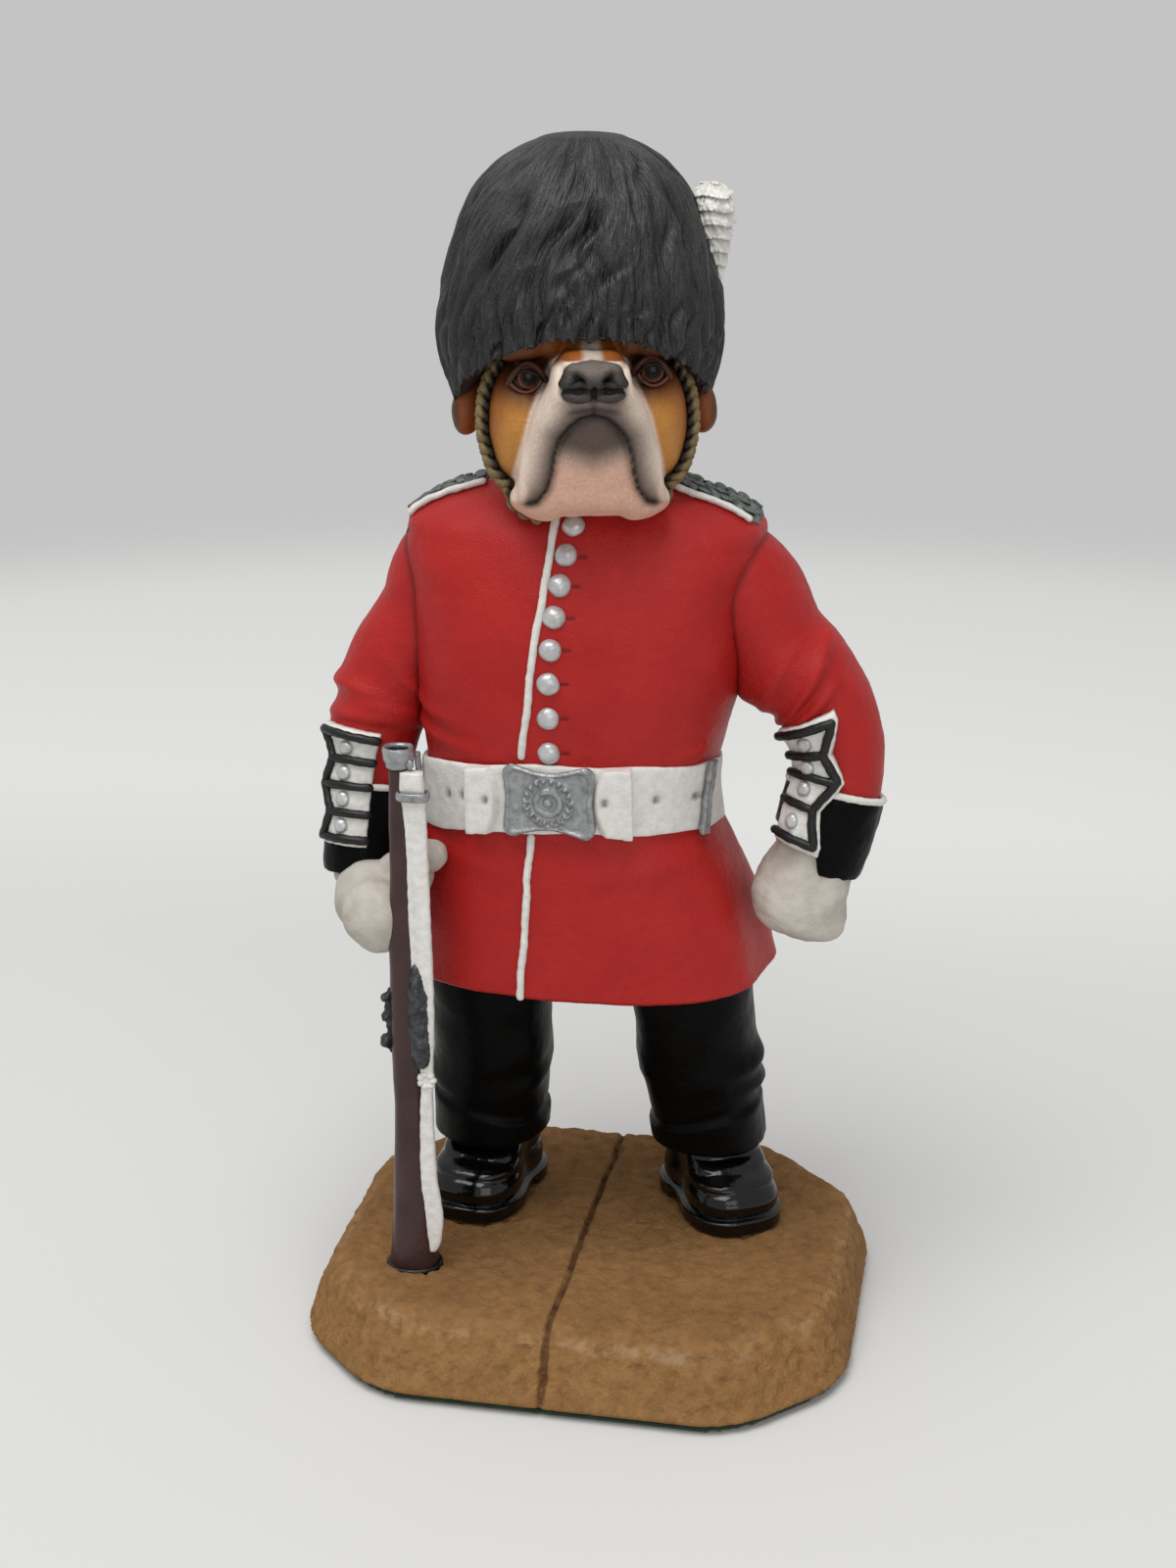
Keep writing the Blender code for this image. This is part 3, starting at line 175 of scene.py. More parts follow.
def weld(piece):
    """Merges doubled points and turns every face outward."""
    pick(piece)
    bpy.ops.object.mode_set(mode="EDIT")
    bpy.ops.mesh.select_all(action="SELECT")
    bpy.ops.mesh.remove_doubles(threshold=0.000002)
    bpy.ops.mesh.normals_make_consistent(inside=False)
    bpy.ops.object.mode_set(mode="OBJECT")


def apply(piece, kind, **settings):
    """Adds a modifier with these settings and applies it."""
    pick(piece)
    made = piece.modifiers.new(kind.lower(), kind)
    for name, value in settings.items():
        setattr(made, name, value)
    bpy.ops.object.modifier_apply(modifier=made.name)


def copy_of(node, name):
    """A welded copy of a CAD piece to work on."""
    piece = nodes[node].copy()
    piece.data = nodes[node].data.copy()
    piece.parent = None
    for key in list(piece.keys()):
        del piece[key]
    bpy.context.scene.collection.objects.link(piece)
    piece.name = piece.data.name = name
    piece.data.materials.clear()
    weld(piece)
    return piece


def fit(piece, coat, slot, *replaced):
    """Paints the piece and puts it in the place of the CAD nodes that it stands for."""
    piece.data.materials.clear()
    piece.data.materials.append(coat)
    piece.data.shade_smooth()
    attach(piece, "root")
    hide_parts(*replaced)


def step(low, high, values):
    """0 below low, 1 above high, and a smooth rise between them."""
    t = np.clip((values - low) / (high - low), 0, 1)
    return t * t * (3 - 2 * t)


def hump(middle, width, values):
    """1 at the middle, and a smooth fall to 0 on both sides of it."""
    return np.exp(-(((values - middle) / width) ** 2))


slab = copy_of("base", "paving_slab")
apply(slab, "REMESH", mode="VOXEL", voxel_size=SLAB_VOXEL * MM)
apply(slab, "SMOOTH", factor=0.5, iterations=1)
places, facing_out = points_of(slab), normals_of(slab)
above_felt = np.clip((places[:, 2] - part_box("base")[0].z / MM) / 2, 0, 1)
worn = SLAB_WEAR * (roughly(places, 4.5) + 0.8 * roughly(places, 1.9, 9) + 0.6 * roughly(places, 0.9, 5))
pits = -0.35 * np.clip(roughly(places, 1.3, 21) - 0.2, 0, 0.3) / 0.3
veins = hump(0.0, 0.04, roughly(places * (1, 1, 0.7), 1.7, 9)) * step(0.9, 0.7, facing_out[:, 2])
joint_line = JOINT_X + 0.22 * roughly(places * (0, 1, 1), 5.0, 3)
joint = np.exp(-(((places[:, 0] - joint_line) / 0.36) ** 4))
in_front = np.clip(-facing_out[:, 1], 0, 1) ** 2
on_top = np.clip(facing_out[:, 2] + 0.7 * in_front, 0, 1)
cut = -JOINT_DEPTH * joint * on_top * (1 - 0.6 * in_front)
set_points(slab, places + facing_out * ((worn + pits + cut - 0.12 * veins) * above_felt)[:, None])
dusk = 0.16 * step(0.8, 0.97, facing_out[:, 2]) * (0.8 + 0.8 * roughly(places, 7.0, 12))
inked = joint * on_top * (0.9 - 0.35 * in_front + 0.5 * roughly(places, 1.2, 6))
mark(slab, "groove", np.maximum.reduce([inked, dusk, 0.3 * veins * (0.5 + roughly(places, 3.0, 4))]))
on_ridge = hump(0.74, 0.15, facing_out[:, 2]) * (places[:, 2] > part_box("base")[1].z / MM - 2.5)
patchy = np.clip(0.1 + 1.2 * roughly(places, 2.0, 15) + 1.2 * roughly(places, 0.7, 2), 0, 1)
mark(slab, "wear", 0.4 * on_ridge * patchy)
# Matt stippled paint: it looks like dusty sandstone, with pale worn grains and a dark joint.
SANDSTONE = painted_resin(
    "sandstone_paint_on_resin", "#946E45", "#7E5D39", "#B8946A", 0.95, 0.45, 0.34, 1.6, 0.2, "#452A1A", 0.1
)
tree = SANDSTONE.node_tree
stone = tree.nodes["Principled BSDF"].inputs["Base Color"]
rubbed = add_node(tree, "Attribute", attribute_name="wear")
stone_mix = {0: rubbed.outputs["Fac"], 6: stone.links[0].from_socket, 7: linear("#B39A7E")}
tree.links.new(add_node(tree, "Mix", stone_mix, data_type="RGBA").outputs[2], stone)
fit(slab, SANDSTONE, "slab_tan", "base")

# Felt
# A die-cut pad of green felt is glued under the slab so that it doesn't scratch a shelf.
# Only its edge shows, and it is a little fuzzy where it was cut.
FELT_VOXEL = 0.5
FELT_SHRINK = (0.985, 0.983, 1.0)
felt = copy_of("felt_pad", "felt_underlay")
apply(felt, "REMESH", mode="VOXEL", voxel_size=FELT_VOXEL * MM)
places = points_of(felt)
fuzz = 0.12 * roughly(places, 0.8, 2) * (1 - np.abs(normals_of(felt)[:, 2]))
set_points(felt, (places + normals_of(felt) * fuzz[:, None]) * FELT_SHRINK)
# Wool felt: dead matt, with a soft sheen along its edge.
FELT = painted_resin("green_wool_felt", "#1C3A24", "#12281A", "#3E6A44", 0.95, 0.3, 0.15, 2.0, 0.2)
FELT.node_tree.nodes["Principled BSDF"].inputs["Sheen Weight"].default_value = 0.4
fit(felt, FELT, "felt_green", "felt_pad")

# Boots
# Each boot is cast with its sole and heel and a welt between them, and painted with gloss black.
# The toe cap is a raised band, and the leather creases across the vamp.
FIGURE = np.array((-2.5, 5.0, 9.3))
BOOT_TOE = 11.6
BOOT_HEEL = 7.4
BOOT_HALF_WIDTH = 6.3
SOLE = 1.8
WELT = 0.55
BOOT_CREASES = ((5.2, -0.2), (6.0, 0.2), (6.7, -0.22))
BOOT_TOP = 11.4
BOOT_PROFILE = [
    # height, toe, heel, half width
    (0.0, BOOT_TOE - 0.1, BOOT_HEEL - 0.1, BOOT_HALF_WIDTH - 0.1),
    (0.25, BOOT_TOE, BOOT_HEEL, BOOT_HALF_WIDTH),
    (SOLE - 0.2, BOOT_TOE, BOOT_HEEL, BOOT_HALF_WIDTH),
    (SOLE, BOOT_TOE - 0.15, BOOT_HEEL - 0.1, BOOT_HALF_WIDTH - 0.12),
    (SOLE + 0.12, BOOT_TOE - WELT - 0.25, BOOT_HEEL - WELT - 0.2, BOOT_HALF_WIDTH - WELT - 0.25),
    (SOLE + 0.5, BOOT_TOE - WELT - 0.1, BOOT_HEEL - WELT, BOOT_HALF_WIDTH - WELT),
    (4.0, BOOT_TOE - WELT, BOOT_HEEL - WELT, BOOT_HALF_WIDTH - WELT),
    (5.4, BOOT_TOE - 1.3, BOOT_HEEL - 0.75, BOOT_HALF_WIDTH - 0.9),
    (6.6, BOOT_TOE - 3.4, BOOT_HEEL - 1.1, BOOT_HALF_WIDTH - 1.0),
    (7.8, BOOT_TOE - 5.6, BOOT_HEEL - 1.7, BOOT_HALF_WIDTH - 1.2),
    (BOOT_TOP, BOOT_TOE - 6.8, BOOT_HEEL - 2.6, BOOT_HALF_WIDTH - 1.6),
]


def wrap(name, columns, rows, place, marks=None):
    """A grid bent over a form: place(u, v) gives its points, with u round it and v along it, both 0 to 1.

    Numbers that place leaves in marks become attributes of the piece.
    """
    bpy.ops.object.select_all(action="DESELECT")
    bpy.ops.mesh.primitive_grid_add(x_subdivisions=columns, y_subdivisions=rows, size=1.0)
    piece = bpy.context.object
    piece.name = piece.data.name = name
    u, v, _ = points_of(piece).T * MM + 0.5
    set_points(piece, np.stack(place(u, v), 1))
    for mark_name, values in (marks or {}).items():
        mark(piece, mark_name, values)
    weld(piece)
    return piece


def smooth_rows(stations, at):
    """The columns of a table read at other values of its first column, on a smooth curve."""
    table = np.array(stations, float)
    key, rows = table[:, 0], table[:, 1:]
    slope = np.gradient(rows, key, axis=0)
    at = np.asarray(at, float)
    k = np.clip(np.searchsorted(key, at) - 1, 0, len(key) - 2)
    span = (key[k + 1] - key[k])[:, None]
    t = (at[:, None] - key[k][:, None]) / span
    blend = t * t * (3 - 2 * t)
    ease = span * (slope[k] * t * (1 - t) ** 2 + slope[k + 1] * t * t * (t - 1))
    return (rows[k] * (1 - blend) + rows[k + 1] * blend + ease).T


def straight_rows(stations, at):
    """The same columns, on straight lines between the rows."""
    table = np.array(stations, float)
    return [np.interp(at, table[:, 0], column) for column in table[:, 1:].T]


def oval(angle, half_width, half_depth, power):
    """A point of a squarish oval. Power 2 is an ellipse."""
    reach = (np.abs(np.cos(angle)) ** power + np.abs(np.sin(angle)) ** power) ** (-1 / power)
    return half_width * reach * np.cos(angle), half_depth * reach * np.sin(angle)


def in_figure(x, y, z):
    """Points of the figure's own frame, in the slab's."""
    return x + FIGURE[0], y + FIGURE[1], z + FIGURE[2]


def boot(name, node, ankle, turn):
    """A boot under this ankle, with its toe turned this many degrees."""

    def place(u, v):
        angle = 2 * np.pi * u
        z = np.interp(v, [0.04, 0.3, 0.36, 1.0], [0.0, SOLE + 0.02, SOLE + 0.5, BOOT_TOP])
        toe, heel, half = straight_rows(BOOT_PROFILE, z)
        x, y = oval(angle, half, (toe + heel) / 2, 2.9)
        x = x * (1.0 - 0.13 * hump(1.0, 3.0, y))
        shut = step(0.0, 0.03, v)
        front = step(0.2, 0.7, -np.sin(angle))
        cap = 0.16 * front * (1 - step(3.6, 4.2, z)) * step(SOLE + 0.3, SOLE + 0.8, z)
        crease = sum(h * hump(at, 0.32, z + 0.12 * x * x / 8) for at, h in BOOT_CREASES)
        heel_notch = 0.9 * hump(1.6, 0.75, y) * (z < 1.0)
        grow = 1 + (cap + crease * front) / BOOT_HALF_WIDTH
        x, y = x * shut * grow, y * shut * grow + (heel - toe) / 2
        z = np.where(v < 0.035, 0.0, z) + heel_notch * (z < 0.6)
        c, s = math.cos(math.radians(turn)), math.sin(math.radians(turn))
        return in_figure(ankle[0] + c * x - s * y, ankle[1] + s * x + c * y, z)

    fit(wrap(name, 120, 90, place), BOOT_BLACK, "boot_black", node)


# Gloss enamel: deep black with sharp, bright reflections.
BOOT_BLACK = painted_resin(
    "gloss_black_enamel", "#070707", "#040404", "#3A3A3C", 0.13, 2.2, 0.1, 4.0, 0.05, None, 0.45
)
LEFT_ANKLE = (15.7, 5.6)
RIGHT_ANKLE = (-12.2, 3.6)
boot("left_parade_boot", "left_boot", LEFT_ANKLE, 32.0)
boot("right_parade_boot", "right_boot", RIGHT_ANKLE, -10.0)

# Trousers
# Two legs cast with the figure and painted satin black. The cloth sags in folds over the boots,
# and each hem is a thick rolled edge.
HEM = 34.2
TROUSER_HEM = 8.6
LEG_HALF_WIDTH = 7.8


def roughen(piece, *layers):
    """Moves the piece's points in and out. Each layer is a height, the size of its lumps and a seed."""
    places = points_of(piece)
    swell = sum(height * roughly(places, size, seed) for height, size, seed in layers)
    set_points(piece, places + normals_of(piece) * swell[:, None])


def trouser_leg(name, node, hip, ankle, outer, folds):
    """A leg from hip to ankle. outer is the way that its hem dips, and folds are the sags of the cloth."""
    top = HEM + 6.0

    def place(u, v):
        angle = 2 * np.pi * u
        stops = [0.0, 0.03, 0.06, 0.1, 0.97, 1.0]
        z = np.interp(v, stops, [12.0, 9.6, TROUSER_HEM, TROUSER_HEM + 0.5, top, top])
        inside = np.interp(v, stops, [0.0, 0.86, 0.94, 1.0, 1.0, 0.0])
        t = (z - TROUSER_HEM) / (top - TROUSER_HEM)
        half = LEG_HALF_WIDTH * (0.86 + 0.16 * t) * inside
        sag = np.zeros_like(z)
        for at, lean, facing, spread, width, height in folds:
            off = (angle - facing + np.pi) % (2 * np.pi) - np.pi
            gap = z - at - lean * off
            crest = np.where(gap > 0, hump(0, width * 1.6, gap), hump(0, width, gap))
            sag += height * crest * hump(0, spread, off)
        band = TROUSER_HEM + 4.4 + 1.7 * np.cos(angle - outer)
        sag += 0.42 * step(band + 0.25, band - 0.25, z) - 0.2 * hump(0.7, 0.7, z - band)
        sag *= inside
        a, b = oval(angle, half + sag, half * 1.06 + sag, 2.2)
        x = ankle[0] + (hip[0] - ankle[0]) * t + a
        y = ankle[1] + (hip[1] - ankle[1]) * t + b
        return in_figure(x, y, z)

    piece = wrap(name, 120, 130, place)
    roughen(piece, (0.22, 5.0, 4), (0.05, 1.2, 8))
    fit(piece, TROUSER_BLACK, "trouser_black", node)


# Satin black: so dark that only soft highlights show the folds.
TROUSER_BLACK = painted_resin(
    "satin_black_paint", "#070707", "#040404", "#3C3C37", 0.38, 0.4, 0.05, 3.0, 0.12, None, 0.07
)
trouser_leg(
    "left_trouser", "left_trouser_leg", (11.8, 2.0), (LEFT_ANKLE[0] - 0.6, LEFT_ANKLE[1]), 0.0,
    [
        # height, lean, facing, spread, width, size
        (20.6, 0.6, 0.05, 0.75, 1.0, 0.95), (17.2, -0.4, 0.15, 0.7, 0.9, 0.85),
        (19.0, 2.2, -1.25, 0.6, 1.3, 0.35), (22.5, -2.0, 2.7, 0.9, 1.6, 0.6),
        (17.8, 1.4, 2.9, 0.9, 1.2, 0.6), (30.0, 4.0, -0.5, 0.8, 2.4, 0.3),
    ],
)
trouser_leg(
    "right_trouser", "right_trouser_leg", (-11.6, 1.0), (RIGHT_ANKLE[0], RIGHT_ANKLE[1] - 0.6), np.pi,
    [
        (17.0, -0.8, 3.1, 0.8, 1.1, 0.7), (20.4, 1.0, -0.9, 0.8, 1.5, 0.35),
        (17.0, 1.8, -0.4, 0.6, 1.0, 0.4), (21.5, 2.2, 1.6, 0.9, 1.6, 0.6),
        (17.6, -1.4, 1.3, 0.9, 1.2, 0.6), (29.0, -4.0, -2.2, 0.8, 2.4, 0.3),
    ],
)

# Tunic
# The body is one casting with a flared skirt and a stand collar. Its scarlet paint is stippled
# on thick, so it has a fine grain that catches the light, and a slit is scored beside each button.
TUNIC_POWER = 2.5
SKIRT_INSIDE = 39.0
WAIST = 55.8
SHOULDER = 86.0
COLLAR_TOP = 94.6
TUNIC = [
    # height, half width, half depth, middle x, middle y
    (HEM, 22.6, 15.6, 0.4, 0.5),
    (42.0, 20.9, 15.2, 0.1, 0.3),
    (49.0, 18.8, 14.5, -0.6, 0.0),
    (WAIST, 16.4, 13.7, -1.2, 0.0),
    (62.0, 17.4, 14.0, -0.8, -0.2),
    (73.0, 19.2, 14.4, 0.0, -0.3),
    (80.0, 19.6, 13.7, 0.0, 0.0),
    (SHOULDER, 20.6, 12.3, 0.4, 0.5),
    (88.6, 20.0, 11.4, 0.5, 0.8),
    (90.4, 16.8, 10.4, 0.5, 1.0),
    (92.2, 11.5, 9.4, 0.4, 1.2),
    (COLLAR_TOP, 9.9, 8.8, 0.4, 1.2),
]
PIPING_LINE = [
    # height, x
    (34.6, -4.4), (WAIST, -3.1), (63.4, -4.2), (90.0, -0.9),
]
BUTTONS = [
    # x and height of each button, from the collar down
    (1.0 - 2.0 * math.sin(min(t * 1.25, 1.0) * math.pi / 2), 89.4 - 25.0 * (0.8 * t + 0.2 * t * t))
    for t in np.linspace(0, 1, 8)
]
BUTTON_RADIUS = 1.25
TUNIC_CREASES = [
    # height, lean, facing, spread, width, size
    (64.4, -2.0, 3.75, 0.5, 0.8, 0.5), (67.4, -2.6, 3.7, 0.4, 1.0, 0.35), (64.0, 2.0, 5.8, 0.4, 0.9, 0.5),
    (51.0, 3.0, 5.5, 0.5, 1.2, 0.3), (51.0, -3.0, 3.9, 0.5, 1.2, 0.3), (64.2, 1.0, 1.2, 0.6, 0.9, 0.4),
    (64.6, -1.2, 2.2, 0.6, 0.9, 0.4),
]


def on_tunic(angle, z, lift=0.0):
    """Points on the tunic, with angle 0 at the dog's left side and -90 degrees in front."""
    half_width, half_depth, x, y = smooth_rows(TUNIC, z)
    a, b = oval(angle, half_width + lift, half_depth + lift, TUNIC_POWER)
    return x + a, y + b, z


def tunic_front(x, z, lift=0.0):
    """The points of the tunic's front at these places."""
    x, z = np.broadcast_arrays(np.asarray(x, float), np.asarray(z, float))
    half_width, half_depth, mid_x, mid_y = smooth_rows(TUNIC, z.ravel())
    across = np.minimum(np.abs(x.ravel() - mid_x) / (half_width + lift), 1.0)
    reach = (half_depth + lift) * (1 - across**TUNIC_POWER) ** (1 / TUNIC_POWER)
    return np.stack((x.ravel(), mid_y - reach, z.ravel()), 1)


def from_behind(u):
    """The angle at u of the way round, with the columns closer together in front."""
    return 2 * np.pi * u - 0.55 * np.sin(2 * np.pi * (u - 0.75))


def tunic_place(u, v):
    angle = from_behind(u)
    stops = [0.0, 0.03, 0.05, 0.058, 0.066, 0.985, 1.0]
    levels = [SKIRT_INSIDE, SKIRT_INSIDE, HEM + 0.3, HEM, HEM + 0.35, COLLAR_TOP, COLLAR_TOP]
    z = np.interp(v, stops, levels)
    inside = np.interp(v, stops, [0.0, 0.9, 0.955, 0.975, 1.0, 1.0, 0.0])
    x, y, _ = on_tunic(angle, z)
    front = step(0.3, 0.7, -np.sin(angle))
    overlap = 0.22 * step(-0.5, 0.3, x - np.interp(z, *np.array(PIPING_LINE).T)) * front
    skirt = step(52.0, 40.0, z)
    flutes = 0.35 * skirt * np.sin(5 * angle + 1.1 * np.sin(2 * angle)) * (1 - 0.9 * front)
    crease = sum(
        height * hump(at + lean * (angle - facing), width, z) * hump(facing, spread, angle)
        for at, lean, facing, spread, width, height in TUNIC_CREASES
    )
    back_seam = -0.3 * hump(0.0, 0.5, x) * step(0.6, 0.9, np.sin(angle))
    slits = sum(
        step(0.62, 0.38, np.abs(x - at - BUTTON_RADIUS - 0.55)) * hump(level, 0.17, z)
        for at, level in BUTTONS[1:]
    )
    slits = slits * front * (z > HEM + 1)
    # The slits are marked for the dark red wash: painted shade in the scored recesses.
    tunic_marks.update(groove=np.clip(slits, 0, 1))
    grow = 1 + (overlap + flutes + crease + back_seam - 0.22 * slits) / 17.0
    mid_x, mid_y = smooth_rows(TUNIC, z)[2:]
    x = mid_x + (x - mid_x) * inside * grow
    y = mid_y + (y - mid_y) * inside * grow
    return in_figure(x, y, z)


# Scarlet stippled on thick: a sandy grain breaks its highlight up into fine points. Its dark red
# wash is painted shade in the button slits and where the sleeves meet the tunic.
SCARLET = painted_resin(
    "scarlet_stippled_paint", "#AC1C19", "#A21613", "#C65A52", 0.46, 0.26, 0.12, 6.0, 0.16, "#5C0B08", 0.28
)
tunic_marks = {}
tunic = wrap("scarlet_tunic", 330, 270, tunic_place, tunic_marks)
roughen(tunic, (0.10, 5.0, 7), (0.05, 1.0, 3))
fit(tunic, SCARLET, "tunic_scarlet", "tunic")

# Belt
# A broad whitened strap modelled round the waist. Its doubled ends lie over the plate's sides, with a
# loop on each, and it has punched holes. It rides up over the belly.
BELT_WIDTH = 8.2
BELT_THICKNESS = 0.8
BELT_LIFT = 0.3
BELT_RISE = 3.1
PLATE_X = -0.9
BELT_ENDS = ((-1, 5.4, 8.9), (1, 4.6, 8.6))
BELT_LOOPS = (-8.4, 8.0)
BELT_HOLES = (-11.8, -9.9, -6.6, 5.7, 11.1, 14.8)


def belt_middle(angle):
    """Height of the belt's centre line at this angle round the waist."""
    return WAIST - BELT_RISE * np.sin(angle) + 0.7 * np.cos(angle)


def on_belt(angle, up, lift):
    """Points this far up from the belt's centre line and out from the tunic, which flares more than it."""
    middle = belt_middle(angle)
    x, y, _ = on_tunic(angle, middle + 0.5 * up, lift)
    return x, y, middle + up


def belt_place(u, v):
    angle = from_behind(u)
    out, up = oval(2 * np.pi * v, BELT_THICKNESS / 2, BELT_WIDTH / 2 - 0.12 * np.sin(9 * angle + 1), 6.0)
    along = on_belt(angle, up, 0.0)[0] - PLATE_X
    front = (np.sin(angle) < 0) * (out > 0)
    inner = np.abs(along) - 0.9 * (up / (BELT_WIDTH / 2)) ** 2
    ends = sum(
        1.15 * step(near, near + 0.4, inner) * step(far, far - 0.4, np.abs(along)) * (along * sign > 0)
        for sign, near, far in BELT_ENDS
    )
    loops = sum(0.35 * step(0.75, 0.4, np.abs(along - at)) for at in BELT_LOOPS)
    holes = sum(-0.6 * hump(at, 0.34, along) * hump(0.2, 0.34, up) for at in BELT_HOLES)
    lift = BELT_LIFT + BELT_THICKNESS / 2 + out + (ends + loops + holes) * front
    x, y, z = on_belt(angle, up, lift)
    # The holes are marked for the brown wash: painted shade in them.
    belt_marks.update(groove=np.clip(-2.0 * holes, 0, 1) * front)
    return in_figure(x, y, z)


# White paint: satin and a little dirty, with brown painted into the punched holes as painted shade.
WHITE = painted_resin("white_paint", "#E2E1DC", "#D3D0C9", "#F1F0EC", 0.5, 0.4, 0.08, 1.0, 0.0, "#5E564C")
belt_marks = {}
belt = wrap("white_belt", 520, 56, belt_place, belt_marks)
roughen(belt, (0.07, 1.6, 1))
fit(belt, WHITE, "white_trim", "belt")

# Belt plate
# A cast plate with a wavy outline closes the belt: plain rings and a row of beads round a boss.
# It is painted silver over resin, and rubbed so that the raised parts shine.
PLATE_WIDTH = 11.4
PLATE_HEIGHT = 9.2
PLATE_WAIST = 6.8
PLATE_RELIEF = [
    # distance from the middle, height
    (0.0, 0.95), (0.35, 0.9), (0.6, 0.4), (0.9, 0.45), (1.2, 0.75), (1.6, 0.75), (1.85, 0.3), (2.1, 0.3),
    (2.9, 0.35), (3.1, 0.1), (9.0, 0.1),
]
plate_z = float(belt_middle(-math.pi / 2))
plate_front = tunic_front(PLATE_X, plate_z, BELT_LIFT + BELT_THICKNESS)[0][1] - 0.75


def plate_place(u, v):
    angle = 2 * np.pi * u
    stops = [0.0, 0.08, 0.16, 1.0]
    reach = np.interp(v, stops, [0.0, 1.0, 1.0, 0.0])
    x, z = oval(angle, PLATE_WIDTH / 2 * reach, PLATE_HEIGHT / 2 * reach, 4.5)
    flare = np.minimum(1.0, (x / (0.36 * PLATE_WIDTH)) ** 2)
    z *= (PLATE_WAIST + (PLATE_HEIGHT - PLATE_WAIST) * flare) / PLATE_HEIGHT
    x *= 0.88 + 0.18 * (z / (PLATE_HEIGHT / 2)) ** 2
    away = np.hypot(x, z)
    relief = np.interp(away, *np.array(PLATE_RELIEF).T)
    relief += 0.4 * hump(2.5, 0.28, away) * (0.3 + 0.7 * np.cos(18 * np.arctan2(z, x)))
    rim = 0.3 * hump(0.93, 0.06, reach)
    back = tunic_front(PLATE_X + x, plate_z + z, BELT_LIFT + BELT_THICKNESS + 0.02)[:, 1]
    y = np.where(v < 0.1, back, np.minimum(back - 0.25, plate_front + 0.4) - relief - rim)
    return in_figure(PLATE_X + x, y, plate_z + z)


# Silver paint rubbed with a cloth: dull in the hollows and bright on what stands up.
SILVER = painted_resin(
    "rubbed_silver_paint", "#A2A3A4", "#77787B", "#DADAD8", 0.34, 0.4, 0.1, 0.9, 0.16, metal=0.4
)
plate = wrap("belt_plate", 200, 110, plate_place)
roughen(plate, (0.08, 0.7, 8))
fit(plate, SILVER, "silver_trim", "belt_buckle")

# Belt keepers
# Two narrow metal slides that hold the belt's loose ends, modelled on it and painted silver.
# The dog's left one is bent a little at its foot.
KEEPER_HEIGHT = 9.0
KEEPER_HALF_ANGLE = 3.0
for side, middle, bend in (("left", -24.8, -0.4), ("right", -155.0, 0.1)):

    def keeper_place(u, v):
        across, out = oval(2 * np.pi * u, KEEPER_HALF_ANGLE, 0.35, 4.0)
        up = np.interp(v, [0.0, 0.04, 0.96, 1.0], [-0.5, -0.5, 0.5, 0.5])
        shut = np.sin(np.pi * np.clip(np.minimum(v, 1 - v) / 0.08, 0, 0.5)) * 0.96 + 0.04 * (v > 0) * (v < 1)
        foot = step(-0.25, -0.5, up)
        angle = np.radians(middle + across * shut + 3.5 * bend * foot)
        lift = BELT_LIFT + BELT_THICKNESS + 0.5 + out * shut
        return in_figure(*on_belt(angle, up * KEEPER_HEIGHT, lift))

    keeper = wrap(side + "_keeper_slide", 40, 60, keeper_place)
    roughen(keeper, (0.1, 0.9, 6))
    fit(keeper, SILVER, "silver_trim", side + "_belt_keeper")

# Piping
# A line of white cord let into the edge of the tunic's front, above the belt and below it.
# It was laid on by hand, so it wanders.
PIPING_RADIUS = 0.44
PIPING_GAP = 0.8


def on_front(x, z, lift):
    """A point lifted off the tunic's front along the way that it faces."""
    near = tunic_front([x, x + 0.2, x], [z, z, z + 0.2])
    out = Vector(np.cross(near[1] - near[0], near[2] - near[0])).normalized()
    return Vector(near[0]) + out * lift, out


def cord(name, paths, radius, fine=2):
    """Round cords along paths of points, with rounded ends, as one mesh."""
    curve = bpy.data.curves.new(name, "CURVE")
    curve.dimensions = "3D"
    curve.bevel_depth = radius * MM
    curve.bevel_resolution = fine
    curve.use_fill_caps = True
    for path in paths:
        strand = curve.splines.new("POLY")
        strand.points.add(len(path) + 3)
        route = [Vector(p) for p in path]
        first = (route[0] - route[1]).normalized() * radius
        last = (route[-1] - route[-2]).normalized() * radius
        whole = [route[0] + first, route[0] + first * 0.6, *route, route[-1] + last * 0.6, route[-1] + last]
        for point, place, thick in zip(strand.points, whole, [0.05, 0.8] + [1.0] * len(path) + [0.8, 0.05]):
            point.co = (*(place * MM), 1.0)
            point.radius = thick
    made = bpy.data.objects.new(name, curve)
    bpy.context.scene.collection.objects.link(made)
    pick(made)
    bpy.ops.object.convert(target="MESH")
    weld(bpy.context.object)
    return bpy.context.object


belt_top = plate_z + BELT_WIDTH / 2
belt_foot = plate_z - BELT_WIDTH / 2
for name, low, high in (
    ("upper", belt_top + PIPING_GAP, PIPING_LINE[-1][0]),
    ("lower", PIPING_LINE[0][0], belt_foot - PIPING_GAP),
):
    levels = np.linspace(low, high, 60)
    line = np.interp(levels, *np.array(PIPING_LINE).T)
    line += 0.08 * np.sin(levels / 2.1) + 0.04 * np.sin(levels / 0.9)
    path = [on_front(x, z, 0.3)[0] + Vector(FIGURE) for x, z in zip(line, levels)]
    piping = cord(name + "_piping_cord", [path], PIPING_RADIUS, 3)
    roughen(piping, (0.1, 0.8, 4))
    fit(piping, WHITE, "white_trim", "front_piping_" + name)

# Tunic buttons
# Eight domed buttons in one row down the front, cast with the tunic and touched in with silver.
# No two came out quite alike.
BUTTON_HEIGHT = 1.0
# Brighter silver, brushed on once: soft metal highlights on each dome.
BRIGHT_SILVER = painted_resin(
    "bright_silver_paint", "#CBCAC9", "#AEAEB0", "#F0F0EE", 0.3, 0.6, 0.06, 1.0, metal=0.4
)


